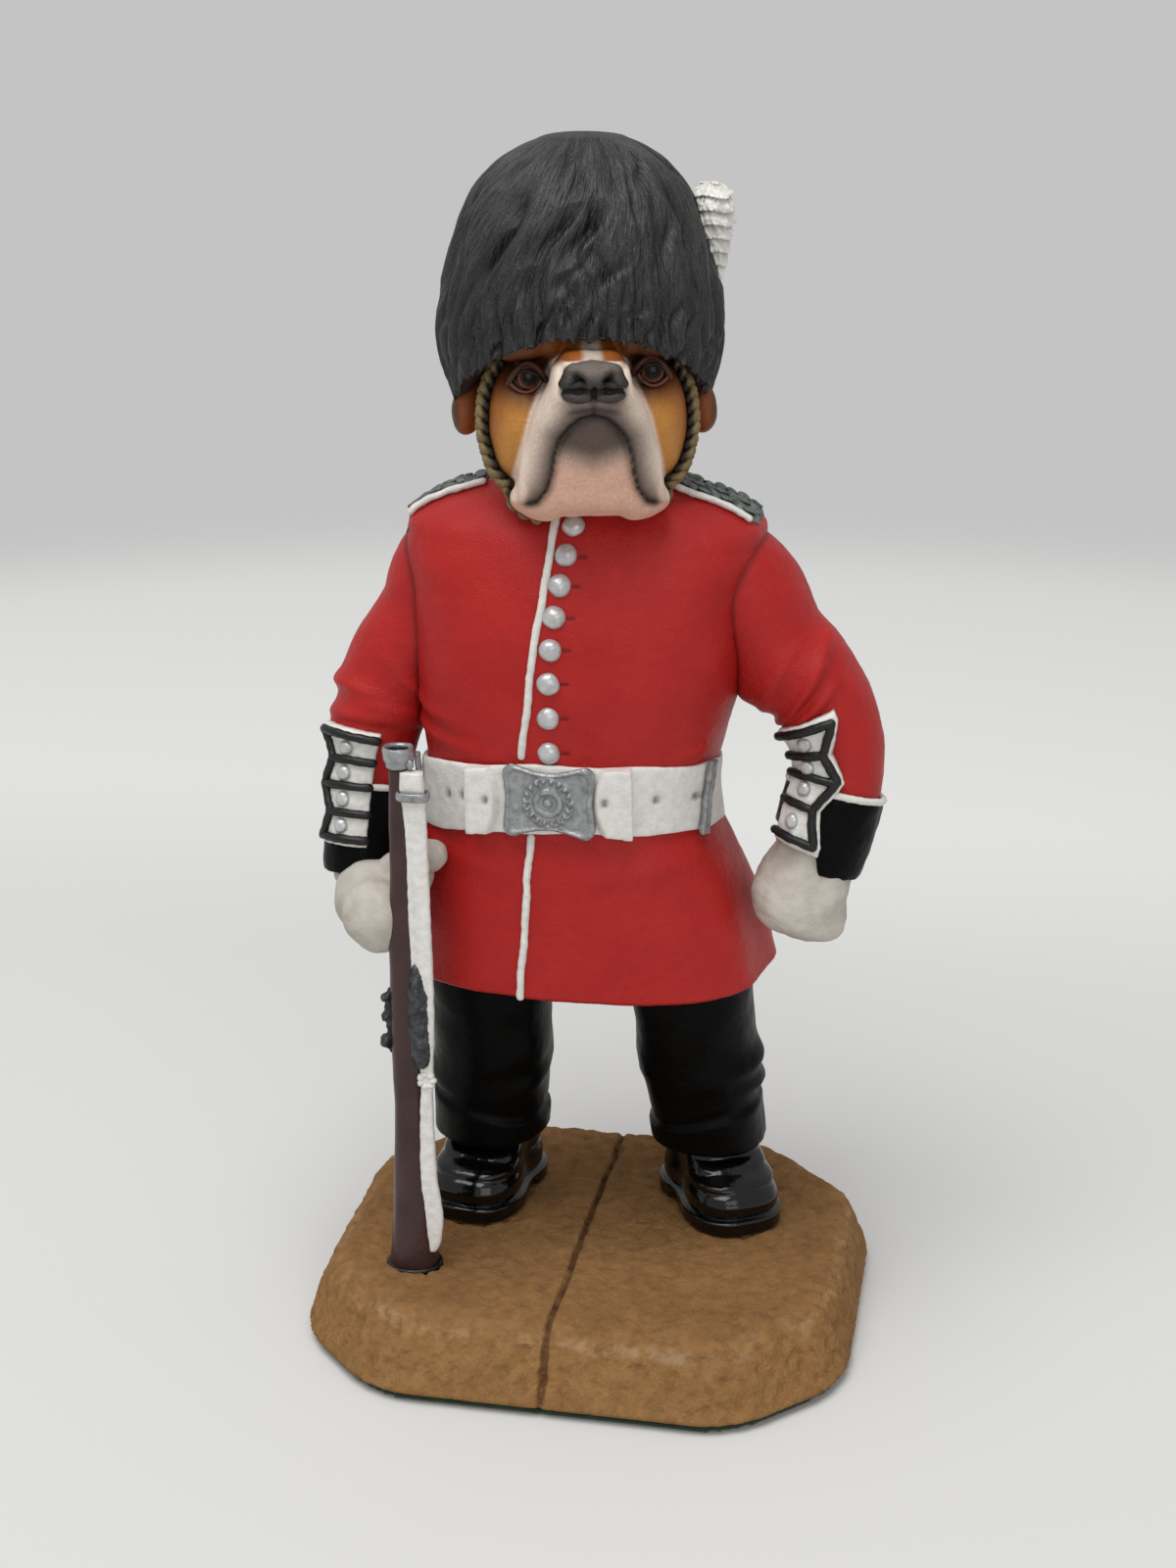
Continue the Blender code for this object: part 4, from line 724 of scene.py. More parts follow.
def button(name, seat, out, radius, height, *replaced):
    """A domed button on its seat, facing out."""
    turn = np.array(Vector(out).to_track_quat("Z", "Y").to_matrix())

    def place(u, v):
        angle = 2 * np.pi * u
        reach = np.interp(v, [0.0, 0.12, 0.2, 0.3, 1.0], [0.0, 1.0, 1.04, 1.0, 0.0]) * radius
        rise = np.where(v < 0.13, 0.0, np.sqrt(np.clip(1 - (reach / radius / 1.05) ** 2, 0, 1)) * height)
        flat = np.stack((reach * np.cos(angle), reach * np.sin(angle), rise), 1)
        return (flat @ turn.T + np.array(seat) + FIGURE).T

    made = wrap(name, 28, 16, place)
    roughen(made, (0.1, 1.2, 3))
    fit(made, BRIGHT_SILVER, "silver_trim", *replaced)


for number, (x, z) in enumerate(BUTTONS, 1):
    seat, out = on_front(x, z, 0.1)
    button(f"silver_button_{number}", seat, out, BUTTON_RADIUS, BUTTON_HEIGHT, f"tunic_button_{number}")

# Sleeves
# Two arms cast by themselves and pegged into the shoulders, in the tunic's scarlet. A dark line is
# painted along the joint: the armhole seam, and painted shade where sleeve and tunic meet. The cloth
# gathers in a few soft folds at the bent elbows.
SEAM = 0.4
SEAM_LINE_AND_SHADE = 0.8
SLEEVE_END = 3.4
body = BVHTree.FromObject(tunic, bpy.context.evaluated_depsgraph_get())


class Arm:
    """A sleeve's path from inside the shoulder to the wrist, with the swells of its elbow."""

    def __init__(self, stations, swells):
        steps = np.linalg.norm(np.diff(np.array(stations)[:, :3], axis=0), axis=1)
        length = np.concatenate([[0.0], np.cumsum(steps)])
        self.table = np.column_stack((length, stations))
        self.total = length[-1]
        self.swells = swells

    def point(self, s, angle, lift=0.0):
        """Points s along it. Angle 0 faces the dog's left and 90 degrees its front."""
        s, angle, lift = (np.ravel(part) for part in np.broadcast_arrays(s, angle, lift))
        rows = smooth_rows(self.table, s)
        after = smooth_rows(self.table, np.minimum(s + 0.3, self.total))[:3]
        before = smooth_rows(self.table, np.maximum(s - 0.3, 0.0))[:3]
        ahead = (after - before).T
        ahead /= np.linalg.norm(ahead, axis=1)[:, None]
        front = np.array((0.0, -1.0, 0.0)) + ahead * ahead[:, 1:2]
        front /= np.linalg.norm(front, axis=1)[:, None]
        side = np.cross(front, ahead)
        turn = np.radians(angle)
        swell = sum(
            height * hump(at, width, s) * np.maximum(0.0, np.cos(turn - math.radians(facing)))
            for at, width, facing, height in self.swells
        )
        across = (rows[3] + swell + lift) * np.cos(turn)
        out = (rows[4] + swell + lift) * np.sin(turn)
        return rows[:3].T + side * across[:, None] + front * out[:, None]


LEFT_ARM = Arm(
    [
        # x, y, z, half width, half depth
        (12.4, 0.6, 85.2, 4.6, 6.4),
        (17.6, 0.5, 81.8, 6.4, 7.4),
        (22.6, 0.6, 74.4, 6.0, 6.8),
        (28.6, 0.8, 67.4, 5.3, 6.2),
        (30.4, 0.2, 60.6, 5.1, 5.5),
        (29.2, -1.0, 54.0, 5.1, 5.3),
        (27.7, -1.8, 48.4, 5.0, 5.1),
    ],
    [(19.6, 1.5, 200, 0.7), (22.8, 1.4, 190, 0.9), (25.6, 1.2, 175, 0.6), (19.0, 2.2, 30, 0.4)],
)
RIGHT_ARM = Arm(
    [
        (-10.6, 0.6, 85.2, 4.6, 6.4),
        (-14.6, 0.4, 82.8, 6.4, 7.4),
        (-18.0, -0.2, 76.0, 6.3, 7.0),
        (-22.6, -1.2, 68.8, 5.9, 6.5),
        (-24.5, -2.9, 60.8, 4.9, 5.6),
        (-25.0, -4.8, 54.0, 4.3, 5.0),
        (-25.3, -6.9, 45.4, 4.1, 4.7),
    ],
    [(21.0, 1.6, 20, 0.5), (24.6, 1.5, 60, 0.8), (28.0, 1.4, 130, 0.7)],
)


def capped(v, end, low, high):
    """Heights from low to high along v, and how far the form is open there. A flat cap shuts both ends."""
    stops = [0.0, end, 1.0 - end, 1.0]
    return np.interp(v, stops, [low, low, high, high]), np.interp(v, stops, [0.0, 1.0, 1.0, 0.0])


def sleeve(name, arm, node, folds):
    """A sleeve along the arm, which ends inside the cuff. folds are where the cloth gathers."""

    def place(u, v):
        s, shut = capped(v, 0.015, 0.0, arm.total - SLEEVE_END)
        angle = 360 * u
        lift = np.zeros_like(s)
        for at, lean, facing, spread, width, height in folds:
            off = (angle - facing + 180) % 360 - 180
            line = s - at - lean * off / 90
            crest = np.where(line > 0, hump(0, width * 0.55, line), hump(0, width, line))
            lift += height * crest * hump(0, spread, off)
        middle = smooth_rows(arm.table, s)[:3].T
        return (middle + (arm.point(s, angle, lift) - middle) * shut[:, None] + FIGURE).T

    piece = wrap(name, 130, 190, place)
    roughen(piece, (0.12, 4.0, 7), (0.05, 1.0, 3))
    # Points near the tunic get a dark line: the seam, and painted shade in the joint between the parts.
    gaps = np.array([body.find_nearest(Vector(p) * MM)[3] / MM for p in points_of(piece)])
    mark(piece, "groove", SEAM_LINE_AND_SHADE * hump(0.0, SEAM, gaps))
    fit(piece, SCARLET, "tunic_scarlet", node)


sleeve(
    "left_scarlet_sleeve", LEFT_ARM, "left_sleeve",
    [
        # along, lean, facing, spread, width, height
        (20.6, 3.0, 84, 50, 1.0, 0.8), (23.4, 2.4, 100, 45, 0.9, 0.75), (18.0, 3.2, 120, 45, 1.2, 0.55),
        (22.0, -2.0, 250, 60, 1.5, 0.5), (25.0, -1.0, 270, 50, 1.3, 0.4), (17.4, 1.0, 200, 60, 3.0, 1.9),
    ],
)
sleeve(
    "right_scarlet_sleeve", RIGHT_ARM, "right_sleeve",
    [
        (23.4, 0.6, 150, 60, 1.1, 0.75), (26.4, 0.4, 120, 70, 1.0, 0.7), (20.0, -2.4, 50, 40, 1.6, 0.4),
        (24.0, 1.2, 240, 60, 1.3, 0.5), (20.6, -1.0, 260, 50, 1.3, 0.4),
    ],
)

# Cuffs
# Each sleeve ends in a black band with a white slash on it, edged with black cord, four silver
# buttons between five bars of cord, and a white line along the top of the band.
CUFF_HEIGHTS = {"left": 9.5, "right": 10.7}
CUFF_BUTTON_RADIUS = 0.9
BRAID_RADIUS = 0.54
SLASH_LIFT = 0.3
SLASH_THICKNESS = 0.75
SLASH_TOP = SLASH_LIFT + SLASH_THICKNESS
FIRST_BAR = 0.07
BARS_SPAN = 0.86


def laid_on(name, columns, rows, place, low, high, rim):
    """A thin sheet with rounded edges. place(a, b, lift) puts it on what it lies on, a and b 0 to 1."""

    def both(u, v):
        outer = u < 0.5
        a = np.where(outer, 2 * u, 2 - 2 * u)
        near = np.clip(np.minimum(np.minimum(a, 1 - a) / rim[0], np.minimum(v, 1 - v) / rim[1]), 0, 1)
        thick = np.sqrt(1 - (1 - near) ** 2)
        return place(a, v, np.where(outer, low + (high - low) * thick, low))

    return wrap(name, columns, rows, both)


def joined(pieces):
    """Joins the pieces into the first one."""
    pick(*pieces)
    if len(pieces) > 1:
        bpy.ops.object.join()
    return pieces[0]


# Black paint on cord: a thin soft highlight along each strand.
CORD_BLACK = painted_resin("black_cord_paint", "#141415", "#0A0A0A", "#3A3A3A", 0.4, 0.4, 0.06, 1.5)


def cuff(side, arm, top, foot, straight, points, middle, zigzag, cut_back, lean):
    """top and foot are how far the slash stays from the wrist. The angles are its edges and its buttons."""
    start, end, height = arm.total - top, arm.total - foot, CUFF_HEIGHTS[side]
    inward = math.copysign(1.0, straight - points)

    def pointed(t):
        along = np.clip((np.asarray(t) - FIRST_BAR) / BARS_SPAN, 0, 1)
        return points + lean * along + (middle - points) * zigzag * (1 - np.abs(1 - (4 * along) % 2))

    def slash_place(a, b, lift):
        angle = straight + (pointed(b) - straight) * a
        return (arm.point(start + (end - start) * b, angle, lift) + FIGURE).T

    slash = laid_on(side + "_white_slash", 80, 90, slash_place, SLASH_LIFT - 0.2, SLASH_TOP, (0.06, 0.04))
    around = np.linspace(0, 360, 91)
    ring = arm.point(arm.total - height, around, 0.55)
    line = cord(side + "_cuff_line", [[Vector(p + FIGURE) for p in ring]], 0.42)
    slash = joined([slash, line])
    roughen(slash, (0.1, 0.7, 5))
    fit(slash, WHITE, "white_trim", side + "_cuff_slash")

    def band_place(u, v):
        out, along = oval(2 * np.pi * v, 0.4, height / 2 - 0.15, 5.0)
        s = arm.total - height / 2 - 0.15 + along
        low = min(straight, points) + 12
        under_slash = step(low - 6, low + 14, 360 * u) * step(low + 130, low + 110, 360 * u)
        s -= cut_back * under_slash * step(-height / 2, height / 2, along)
        return (arm.point(s, 360 * u, 0.36 + out) + FIGURE).T

    band = wrap(side + "_black_cuff", 110, 60, band_place)
    roughen(band, (0.1, 1.2, 2))
    fit(band, TROUSER_BLACK, "trouser_black", side + "_cuff")

    lift = SLASH_TOP + 0.16
    border = 9.5 * inward
    paths = []
    for bar in range(5):
        t = FIRST_BAR + BARS_SPAN * bar / 4
        sweep = np.linspace(straight - 4.0 * inward, pointed(t) + border, 16)
        paths.append(arm.point(start + (end - start) * t, sweep, lift))
    t = np.linspace(FIRST_BAR, FIRST_BAR + BARS_SPAN, 81)
    paths.append(arm.point(start + (end - start) * t, pointed(t) + border, lift))
    braid = cord(side + "_black_braid", [[Vector(p + FIGURE) for p in path] for path in paths], BRAID_RADIUS)
    roughen(braid, (0.12, 0.8, 1))
    fit(braid, CORD_BLACK, "trouser_black", side + "_cuff_braid")

    for number in range(1, 5):
        share = (number - 0.5) / 4
        at = start + (end - start) * (FIRST_BAR + BARS_SPAN * share)
        seat = arm.point(at, middle + lean * share, SLASH_TOP - 0.05)[0]
        out = arm.point(at, middle + lean * share, 2.0)[0] - seat
        button(
            f"{side}_silver_cuff_button_{number}", seat, out, CUFF_BUTTON_RADIUS, 0.75,
            f"{side}_cuff_button_{number}",
        )


cuff("left", LEFT_ARM, 20.0, 2.2, 153.0, 72.0, 116.0, 0.36, 3.6, 14.0)
cuff("right", RIGHT_ARM, 17.6, 3.6, 70.0, 150.0, 108.0, 0.36, 0.0, 0.0)

# Shoulder straps
# A stiff strap over each shoulder, with grey leaf scrolls modelled on it in relief and a white
# cord along its front edge.
STRAP_INNER = 10.9
STRAP_OUTER = 20.4
STRAP_HALF_DEPTH = 3.4
STRAP_MIDDLE = 1.0


def on_shoulder(sign, reach, depth, lift):
    """A point over the shoulder, at the height where the tunic's oval is that wide."""
    levels = np.linspace(SHOULDER, COLLAR_TOP, 40)
    half_width, half_depth, x, y = smooth_rows(TUNIC, levels)
    deep = np.minimum(np.abs(depth - y) / half_depth, 1.0) ** TUNIC_POWER
    widths = sign * x + half_width * (1 - deep) ** (1 / TUNIC_POWER)
    return np.array((sign * reach, depth, np.interp(reach, widths[::-1], levels[::-1]) + lift))


def press(lumps, name, fine=3):
    """Balls of clay, each with a place, radii and a turn in degrees, joined in one mesh."""
    bpy.ops.object.select_all(action="DESELECT")
    made = []
    for place, radii, turn in lumps:
        bpy.ops.mesh.primitive_ico_sphere_add(subdivisions=fine, radius=1.0)
        ball = bpy.context.object
        turns = [Matrix.Rotation(math.radians(angle), 3, axis) for angle, axis in zip(turn, "XYZ")]
        turned = np.array(turns[2] @ turns[1] @ turns[0])
        set_points(ball, (points_of(ball) * MM * np.array(radii)) @ turned.T + np.array(place))
        made.append(ball)
    whole = joined(made)
    whole.name = whole.data.name = name
    return whole


# Grey metallic paint: a dull pewter shine on the leaves.
STRAP_GREY = painted_resin(
    "grey_metallic_paint", "#737B77", "#454B48", "#A9AFAB", 0.45, 0.5, 0.12, 0.9, 0.2, metal=0.3
)
for side, sign in (("left", 1), ("right", -1)):

    def strap_place(a, b, lift):
        reach = STRAP_INNER + (STRAP_OUTER - STRAP_INNER) * b
        depth = STRAP_MIDDLE + STRAP_HALF_DEPTH * (2 * a - 1) * (1 - 0.12 * hump(1.0, 0.12, b))
        points = [on_shoulder(sign, r, d, up) for r, d, up in zip(reach, depth, lift)]
        return (np.array(points) + FIGURE).T

    strap = laid_on(side + "_shoulder_strap", 48, 40, strap_place, 0.0, 0.6, (0.12, 0.1))
    leaves = []
    for row, depth in enumerate((-2.2, 0.0, 2.2)):
        for n in range(7):
            reach = STRAP_INNER + 0.8 + (STRAP_OUTER - STRAP_INNER - 1.4) * (n + 0.25 * (row % 2)) / 6.3
            at = on_shoulder(sign, reach, STRAP_MIDDLE + depth, 0.62)
            leaves.append((at + FIGURE, (1.1, 0.6, 0.26), (0, sign * 28, 40 * (-1) ** (n + row) * sign)))
    strap = joined([strap, press(leaves, side + "_scroll", 3)])
    roughen(strap, (0.2, 0.8, 5))
    fit(strap, STRAP_GREY, "epaulette_grey", side + "_epaulette")

    edge = []
    for t in np.linspace(0, 1, 30):
        reach = STRAP_INNER + (STRAP_OUTER - 0.9 - STRAP_INNER) * t
        depth = STRAP_MIDDLE - STRAP_HALF_DEPTH - 0.6
        edge.append(Vector(on_shoulder(sign, reach, depth, 0.6) + FIGURE))
    rim = cord(side + "_strap_piping", [edge], 0.4, 3)
    roughen(rim, (0.12, 0.9, 2))
    fit(rim, WHITE, "white_trim", side + "_epaulette_piping")

# Gloves
# White gloves painted on the cast hands. The left fist rests on the hip, and the right mitten
# closes round the rifle with its thumb against the sling.
GLOVE = [
    # height, half width, half depth, middle x, middle y
    (41.1, 3.6, 3.8, 27.1, -3.6),
    (42.0, 4.8, 4.9, 26.9, -3.6),
    (44.0, 5.3, 5.5, 26.5, -3.4),
    (46.2, 5.6, 5.6, 26.6, -2.9),
    (48.2, 5.4, 5.5, 27.1, -2.2),
    (50.2, 5.1, 5.5, 28.1, -1.5),
    (52.8, 5.0, 5.55, 28.9, -1.15),
]
MITTEN_VOXEL = 0.3
# Chalky white: matt and a little grubby, like worn leather.
GLOVE_WHITE = painted_resin("chalky_white_paint", "#BFB9B0", "#ABA498", "#EBE8E2", 0.65, 0.4, 0.09, 3.0, 0.08)


def fist_place(u, v):
    angle = 2 * np.pi * u
    stops = [0.0, 0.06, 0.96, 1.0]
    z = np.interp(v, stops, [GLOVE[0][0], GLOVE[0][0] + 0.1, GLOVE[-1][0], GLOVE[-1][0]])
    shut = np.interp(v, stops, [0.0, 1.0, 1.0, 0.0])
    half_width, half_depth, x, y = smooth_rows(GLOVE, z)
    knuckle = 0.25 * np.cos(4 * (angle + 1.57)) * hump(43.5, 2.0, z) * step(0.2, 0.8, -np.sin(angle))
    power = 3.0 - 0.9 * step(46, 50, z)
    a, b = oval(angle, (half_width + knuckle) * shut, (half_depth + knuckle) * shut, power)
    slant = 0.14 * (x + a - 26.6) * step(45.0, 41.6, z)
    return in_figure(x + a, y + b, z - slant)


fist = wrap("left_gloved_fist", 110, 90, fist_place)
roughen(fist, (0.25, 2.6, 5), (0.08, 0.8, 1))
fit(fist, GLOVE_WHITE, "white_trim", "left_glove")

mitten = press(
    [
        ((-24.4, -7.6, 46.4), (4.2, 4.4, 3.4), (0, 0, 0)),
        ((-23.2, -11.4, 44.2), (4.2, 4.8, 4.8), (0, -8, 0)),
        ((-21.4, -14.8, 43.4), (4.3, 4.0, 4.6), (0, -12, 0)),
        ((-19.6, -11.6, 47.0), (4.4, 2.2, 3.2), (0, -20, 0)),
        ((-15.6, -12.6, 50.4), (2.3, 1.9, 2.0), (0, 0, 0)),
    ],
    "right_gloved_mitten",
)
apply(mitten, "REMESH", mode="VOXEL", voxel_size=MITTEN_VOXEL * MM)
apply(mitten, "SMOOTH", factor=0.5, iterations=10)
roughen(mitten, (0.3, 2.6, 3), (0.08, 0.8, 1))
set_points(mitten, points_of(mitten) + FIGURE)
fit(mitten, GLOVE_WHITE, "white_trim", "right_glove")

# Head
# A boxer's head, sculpted in clay and cast by itself, with hanging upper lips on both sides of a broad
# chin and dropped ears. Airbrushed fawn, cream on the muzzle and smoky round the mouth and eyes.
HEAD = np.array((-2.3, 5.0, 112.3))
HEAD_TURN = math.radians(14.0)
HEAD_VOXEL = 0.24
MUZZLE_POWER = 2.6
MUZZLE = [
    # height, half width, half depth, middle x, middle y
    (-12.2, 6.6, 3.6, 0.0, -11.6),
    (-10.8, 8.4, 5.2, 0.0, -11.8),
    (-7.4, 8.0, 6.0, 0.0, -12.3),
    (-3.0, 6.3, 6.3, 0.0, -12.8),
    (1.0, 5.2, 6.2, 0.0, -13.4),
    (4.0, 4.3, 5.4, 0.0, -13.8),
    (6.2, 2.6, 3.6, 0.0, -13.8),
]
LIP_LINE = [
    # the edge of the upper lip from under the nose to the corner of the mouth, x and z
    (0.0, 0.3), (1.4, 0.0), (2.5, -0.9), (3.6, -2.3), (4.1, -4.1), (4.4, -6.1), (4.9, -7.9), (6.0, -9.4),
    (6.9, -9.7), (8.8, -10.2),
]
MUZZLE_EDGE = [
    # the border of the cream muzzle, z and how far from the middle
    (-12.5, 8.8), (-10, 8.8), (-6.5, 8.1), (-3.8, 7.4), (-0.9, 6.6), (1.4, 5.6), (2.9, 4.9), (4.6, 4.1),
    (5.5, 3.0), (6.0, -0.5),
]
CHEEK_FOLD = [
    # the fold beside the muzzle, z and how far from the middle
    (-10, 8.6), (-6.5, 8.2), (-3.8, 7.5), (-0.9, 6.7), (1.4, 5.8), (2.9, 5.0),
]
LIP_HANG = 0.95
EYE_X = 6.7
EYE_Y = -10.0
EYE_RADIUS = 1.75
EYE_HEIGHTS = {"left": 3.4, "right": 2.8}
EYE_SIDES = {"left": 1, "right": -1}
CHEEK_HEIGHT = -1.0
CHAIN_START = -18.0
CHAIN_SWEEP = 80.0
CHAIN_Y = -6.6
CHAIN_FORWARD = 2.6
FAWN = {
    "ochre": "#A8641F", "gold": "#C28A42", "rust": "#7A3A14", "cream": "#DECAB9", "pink": "#D0A590",
    "smoke": "#55463F", "black": "#18120F", "blaze": "#B3A494", "halo": "#2A1510", "ear": "#84461C",
}
LIDS = [
    # name, start and width across the eye, rise, radius, colour
    ("upper", -1.6, 3.6, 1.2, 0.17, "#0C0807"),
    ("lower", -1.4, 3.1, -1.15, 0.19, "#64392F"),
    ("under", -1.1, 2.8, -1.6, 0.14, "#1E100C"),
    ("fold", -2.0, 4.0, 1.85, 0.36, "#40220F"),
]


def to_head(points):
    """Points of the head's own frame, in the figurine's."""
    x, y, z = np.asarray(points).T
    c, s = math.cos(HEAD_TURN), math.sin(HEAD_TURN)
    return np.stack((c * x - s * y, s * x + c * y, z), 1) + HEAD


def muzzle_place(u, v):
    z, shut = capped(v, 0.04, MUZZLE[0][0], MUZZLE[-1][0])
    half_width, half_depth, x, y = smooth_rows(MUZZLE, z)
    a, b = oval(2 * np.pi * u, half_width * shut, half_depth * shut, MUZZLE_POWER)
    return x + a, y + b, z


def past_line(line, x, z):
    """How far points are from a line on the face, seen from the front: below 0 under the line."""
    line = np.array(line)
    run = np.concatenate([[0.0], np.cumsum(np.hypot(*np.diff(line, axis=0).T))])
    fine = np.linspace(0, run[-1], 120)
    line_x, line_z = np.interp(fine, run, line[:, 0]), np.interp(fine, run, line[:, 1])
    gap = np.min(np.hypot(x[:, None] - line_x, z[:, None] - line_z), axis=1)
    return np.where(z < np.interp(x, line[:, 0], line[:, 1]), -gap, gap)


def blend(base, layers):
    """A colour for each point: each layer is a colour and how much of it covers what is under it."""
    mixed = np.tile(np.array(linear(base)), (len(layers[0][1]), 1))
    for colour, cover in layers:
        cover = np.clip(cover, 0, 1)[:, None]
        mixed = mixed * (1 - cover) + np.array(linear(colour)) * cover
    return mixed


def tint(piece, colours):
    """Writes the airbrushed colours on the piece's points, where its paint reads them."""
    layer = piece.data.color_attributes.new("airbrush", "FLOAT_COLOR", "POINT")
    layer.data.foreach_set("color", np.asarray(colours, np.float32).ravel())


def airbrushed(name, roughness, grain, depth, shine):
    """Airbrushed paint. Its colour is on the piece's points, with a faint speckle of overspray."""
    coat, tree, surface, place = bare_coat(name)
    spray = add_node(
        tree, "TexNoise", {"Vector": place, "Scale": 1 / (grain * MM), "Detail": 3.0, "Roughness": 0.6}
    )
    light = add_node(tree, "MapRange", {0: spray.outputs[0], 1: 0.3, 2: 0.7, 3: 0.86, 4: 1.12})
    colour = add_node(tree, "Attribute", attribute_name="airbrush")
    speckled = add_node(tree, "VectorMath", {0: colour.outputs["Color"]}, operation="SCALE")
    tree.links.new(light.outputs[0], speckled.inputs["Scale"])
    bump = add_node(tree, "Bump", {"Height": spray.outputs[0], "Distance": depth * MM})
    tree.links.new(speckled.outputs[0], surface.inputs["Base Color"])
    tree.links.new(bump.outputs[0], surface.inputs["Normal"])
    sheen = add_node(
        tree, "MapRange", {0: spray.outputs[0], 1: 0.3, 2: 0.7, 3: roughness * 0.85, 4: roughness * 1.15}
    )
    tree.links.new(sheen.outputs[0], surface.inputs["Roughness"])
    surface.inputs["Specular IOR Level"].default_value = shine
    return coat


lumps = [
    ((0, 1.0, 1.5), (11.7, 12.6, 13.0), (0, 0, 0)),
    ((0, -1.0, -7.0), (8.5, 8.0, 6.5), (0, 0, 0)),
    ((0, -9.0, 5.0), (3.4, 5.0, 4.0), (0, 0, 0)),
]
for sign in (-1, 1):
    lumps.append(((sign * 6.3, -6.5, -3.0), (4.7, 6.0, 8.0), (0, sign * 4, 0)))
    lumps.append(((sign * 5.6, -9.6, 6.6), (4.4, 2.8, 2.2), (0, sign * 18, 0)))
    lumps.append(((sign * 12.9, -0.6, -1.9), (1.9, 3.0, 3.3), (0, sign * -10, sign * 14)))
head = joined([press(lumps, "boxer_head", 4), wrap("muzzle_clay", 90, 60, muzzle_place)])
apply(head, "REMESH", mode="VOXEL", voxel_size=HEAD_VOXEL * MM)
apply(head, "SMOOTH", factor=0.5, iterations=8)

places, facing_out = points_of(head), normals_of(head)
x, y, z = places.T
off = np.abs(x)
front = step(-9.5, -12.0, y)
lip = past_line(LIP_LINE, off, z)
hang = np.where(
    lip > 0, LIP_HANG * (1 - np.exp(-lip / 0.32)) * np.exp(-((lip / 4.4) ** 2)), -0.75 * np.exp(lip / 0.6)
)
hang *= step(8.4, 6.8, off)
roll = -0.22 * hump(2.0, 0.5, lip) * step(4.4, 2.5, off)
split = -0.35 * hump(0, 0.3, off) * step(-0.3, 0.4, z) * step(3.0, 1.5, z)
chin_fold = -0.22 * hump(3.3 + 0.1 * (z + 10), 0.6, off) * step(-8.6, -10.0, z)
cheek_fold = -0.35 * hump(0.0, 0.8, off - np.interp(z, *np.array(CHEEK_FOLD).T))
socket = sum(
    -0.9 * np.exp(-((np.hypot(x - sign * EYE_X, z - EYE_HEIGHTS[side]) / 2.2) ** 2))
    for side, sign in EYE_SIDES.items()
)
lift = front * (hang + roll + split + chin_fold) + cheek_fold * step(-6, -9, y) * step(-10.5, -8.5, z)
lift += socket * step(-5, -8, y)
lift -= 1.2 * front * step(3.7, 2.9, off) * step(1.6, 2.6, z) * step(5.2, 4.2, z)
lift += 0.10 * roughly(places, 2.2, 4)
places = places + facing_out * lift[:, None]
places[:, 2] += 0.7 * step(5.4, 1.4, off) * step(-9.0, -11.8, z) * front
set_points(head, places)
apply(head, "SMOOTH", factor=0.5, iterations=4)
x, y, z = points_of(head).T
off = np.abs(x)
lip = past_line(LIP_LINE, off, z)
muzzle_edge = np.interp(z, *np.array(MUZZLE_EDGE).T)
beside_muzzle = hump(0.0, 2.2, off - muzzle_edge - 0.9)
under_nose = np.exp(-(((off / 3.7) ** 2 + ((z - 1.4) / 2.0) ** 2) ** 2)) * (lip > -0.2)
mouth_line = np.where(lip > 0, hump(0.0, 0.34, lip), hump(0.0, 0.42, lip))
on_muzzle = step(0.3, -0.3, off - muzzle_edge) * step(-8.0, -9.5, y)
before_corner = step(7.6, 6.6, off)
eye_gap = np.min(
    [np.hypot((x - EYE_SIDES[s] * (EYE_X - 0.3)) / 1.2, z - EYE_HEIGHTS[s] - 0.3) for s in EYE_SIDES], axis=0
)
side_of_face = step(-7.0, -3.0, y)
inside_mouth = lip < 0
round_cheek = np.degrees(np.arctan2(CHEEK_HEIGHT - z, off))
down_chain = (round_cheek - CHAIN_START) / CHAIN_SWEEP
# A black band on the cheek along the chin chain: the chain's painted shadow.
shade_under_chain = hump(0.0, 1.1, y - CHAIN_Y + CHAIN_FORWARD * down_chain)
shade_under_chain *= step(-24, -18, round_cheek) * step(66, 60, round_cheek)
tint(
    head,
    blend(
        FAWN["ochre"],
        [
            (FAWN["rust"], 0.7 * step(6.5, 11.5, off) + 0.6 * step(0.5, 5.0, z)),
            (FAWN["gold"], 0.75 * beside_muzzle * step(2.5, -1.0, z) * step(-11.5, -7.5, z)),
            (FAWN["halo"], 0.95 * np.exp(-((eye_gap / 3.3) ** 3)) * step(-4, -7, y)),
            (FAWN["ear"], step(10.6, 11.6, off) * side_of_face),
            (FAWN["black"], 0.75 * step(13.6, 14.6, off) + 0.6 * step(-4.4, -5.8, z) * step(11.6, 12.4, off)),
            (FAWN["black"], 0.85 * shade_under_chain * step(6.0, 7.5, off)),
            (FAWN["blaze"], step(1.7, 0.9, off + 0.3) * step(4.2, 5.2, z) * step(-8.0, -10, y)),
            (FAWN["cream"], on_muzzle),
            (FAWN["pink"], on_muzzle * (inside_mouth | (z < -9.8)) * step(-1.5, -6.5, z)),
            (FAWN["pink"], 0.35 * on_muzzle * step(-5.0, -9.0, z)),
            (FAWN["smoke"], on_muzzle * inside_mouth * step(-6.2, -2.4, z - 0.3 * (off - 3))),
            (FAWN["smoke"], 0.9 * on_muzzle * hump(0.4, 1.7, lip) * (lip > -0.2) * before_corner),
            (FAWN["smoke"], 0.95 * on_muzzle * under_nose),
            (FAWN["black"], on_muzzle * mouth_line * before_corner),
            (FAWN["black"], 0.8 * on_muzzle * hump(1.0 - 0.05 * off**2, 0.22, z) * step(3.4, 1.8, off)),
            (FAWN["black"], 0.8 * on_muzzle * hump(0.0, 0.2, off) * hump(0.9, 0.7, z)),
            (FAWN["black"], 0.9 * hump(6.5, 0.9, off) * hump(-9.5, 0.6, z + 0.25 * (off - 6.5)) * on_muzzle),
        ],
    ),
)
eye_lids = []
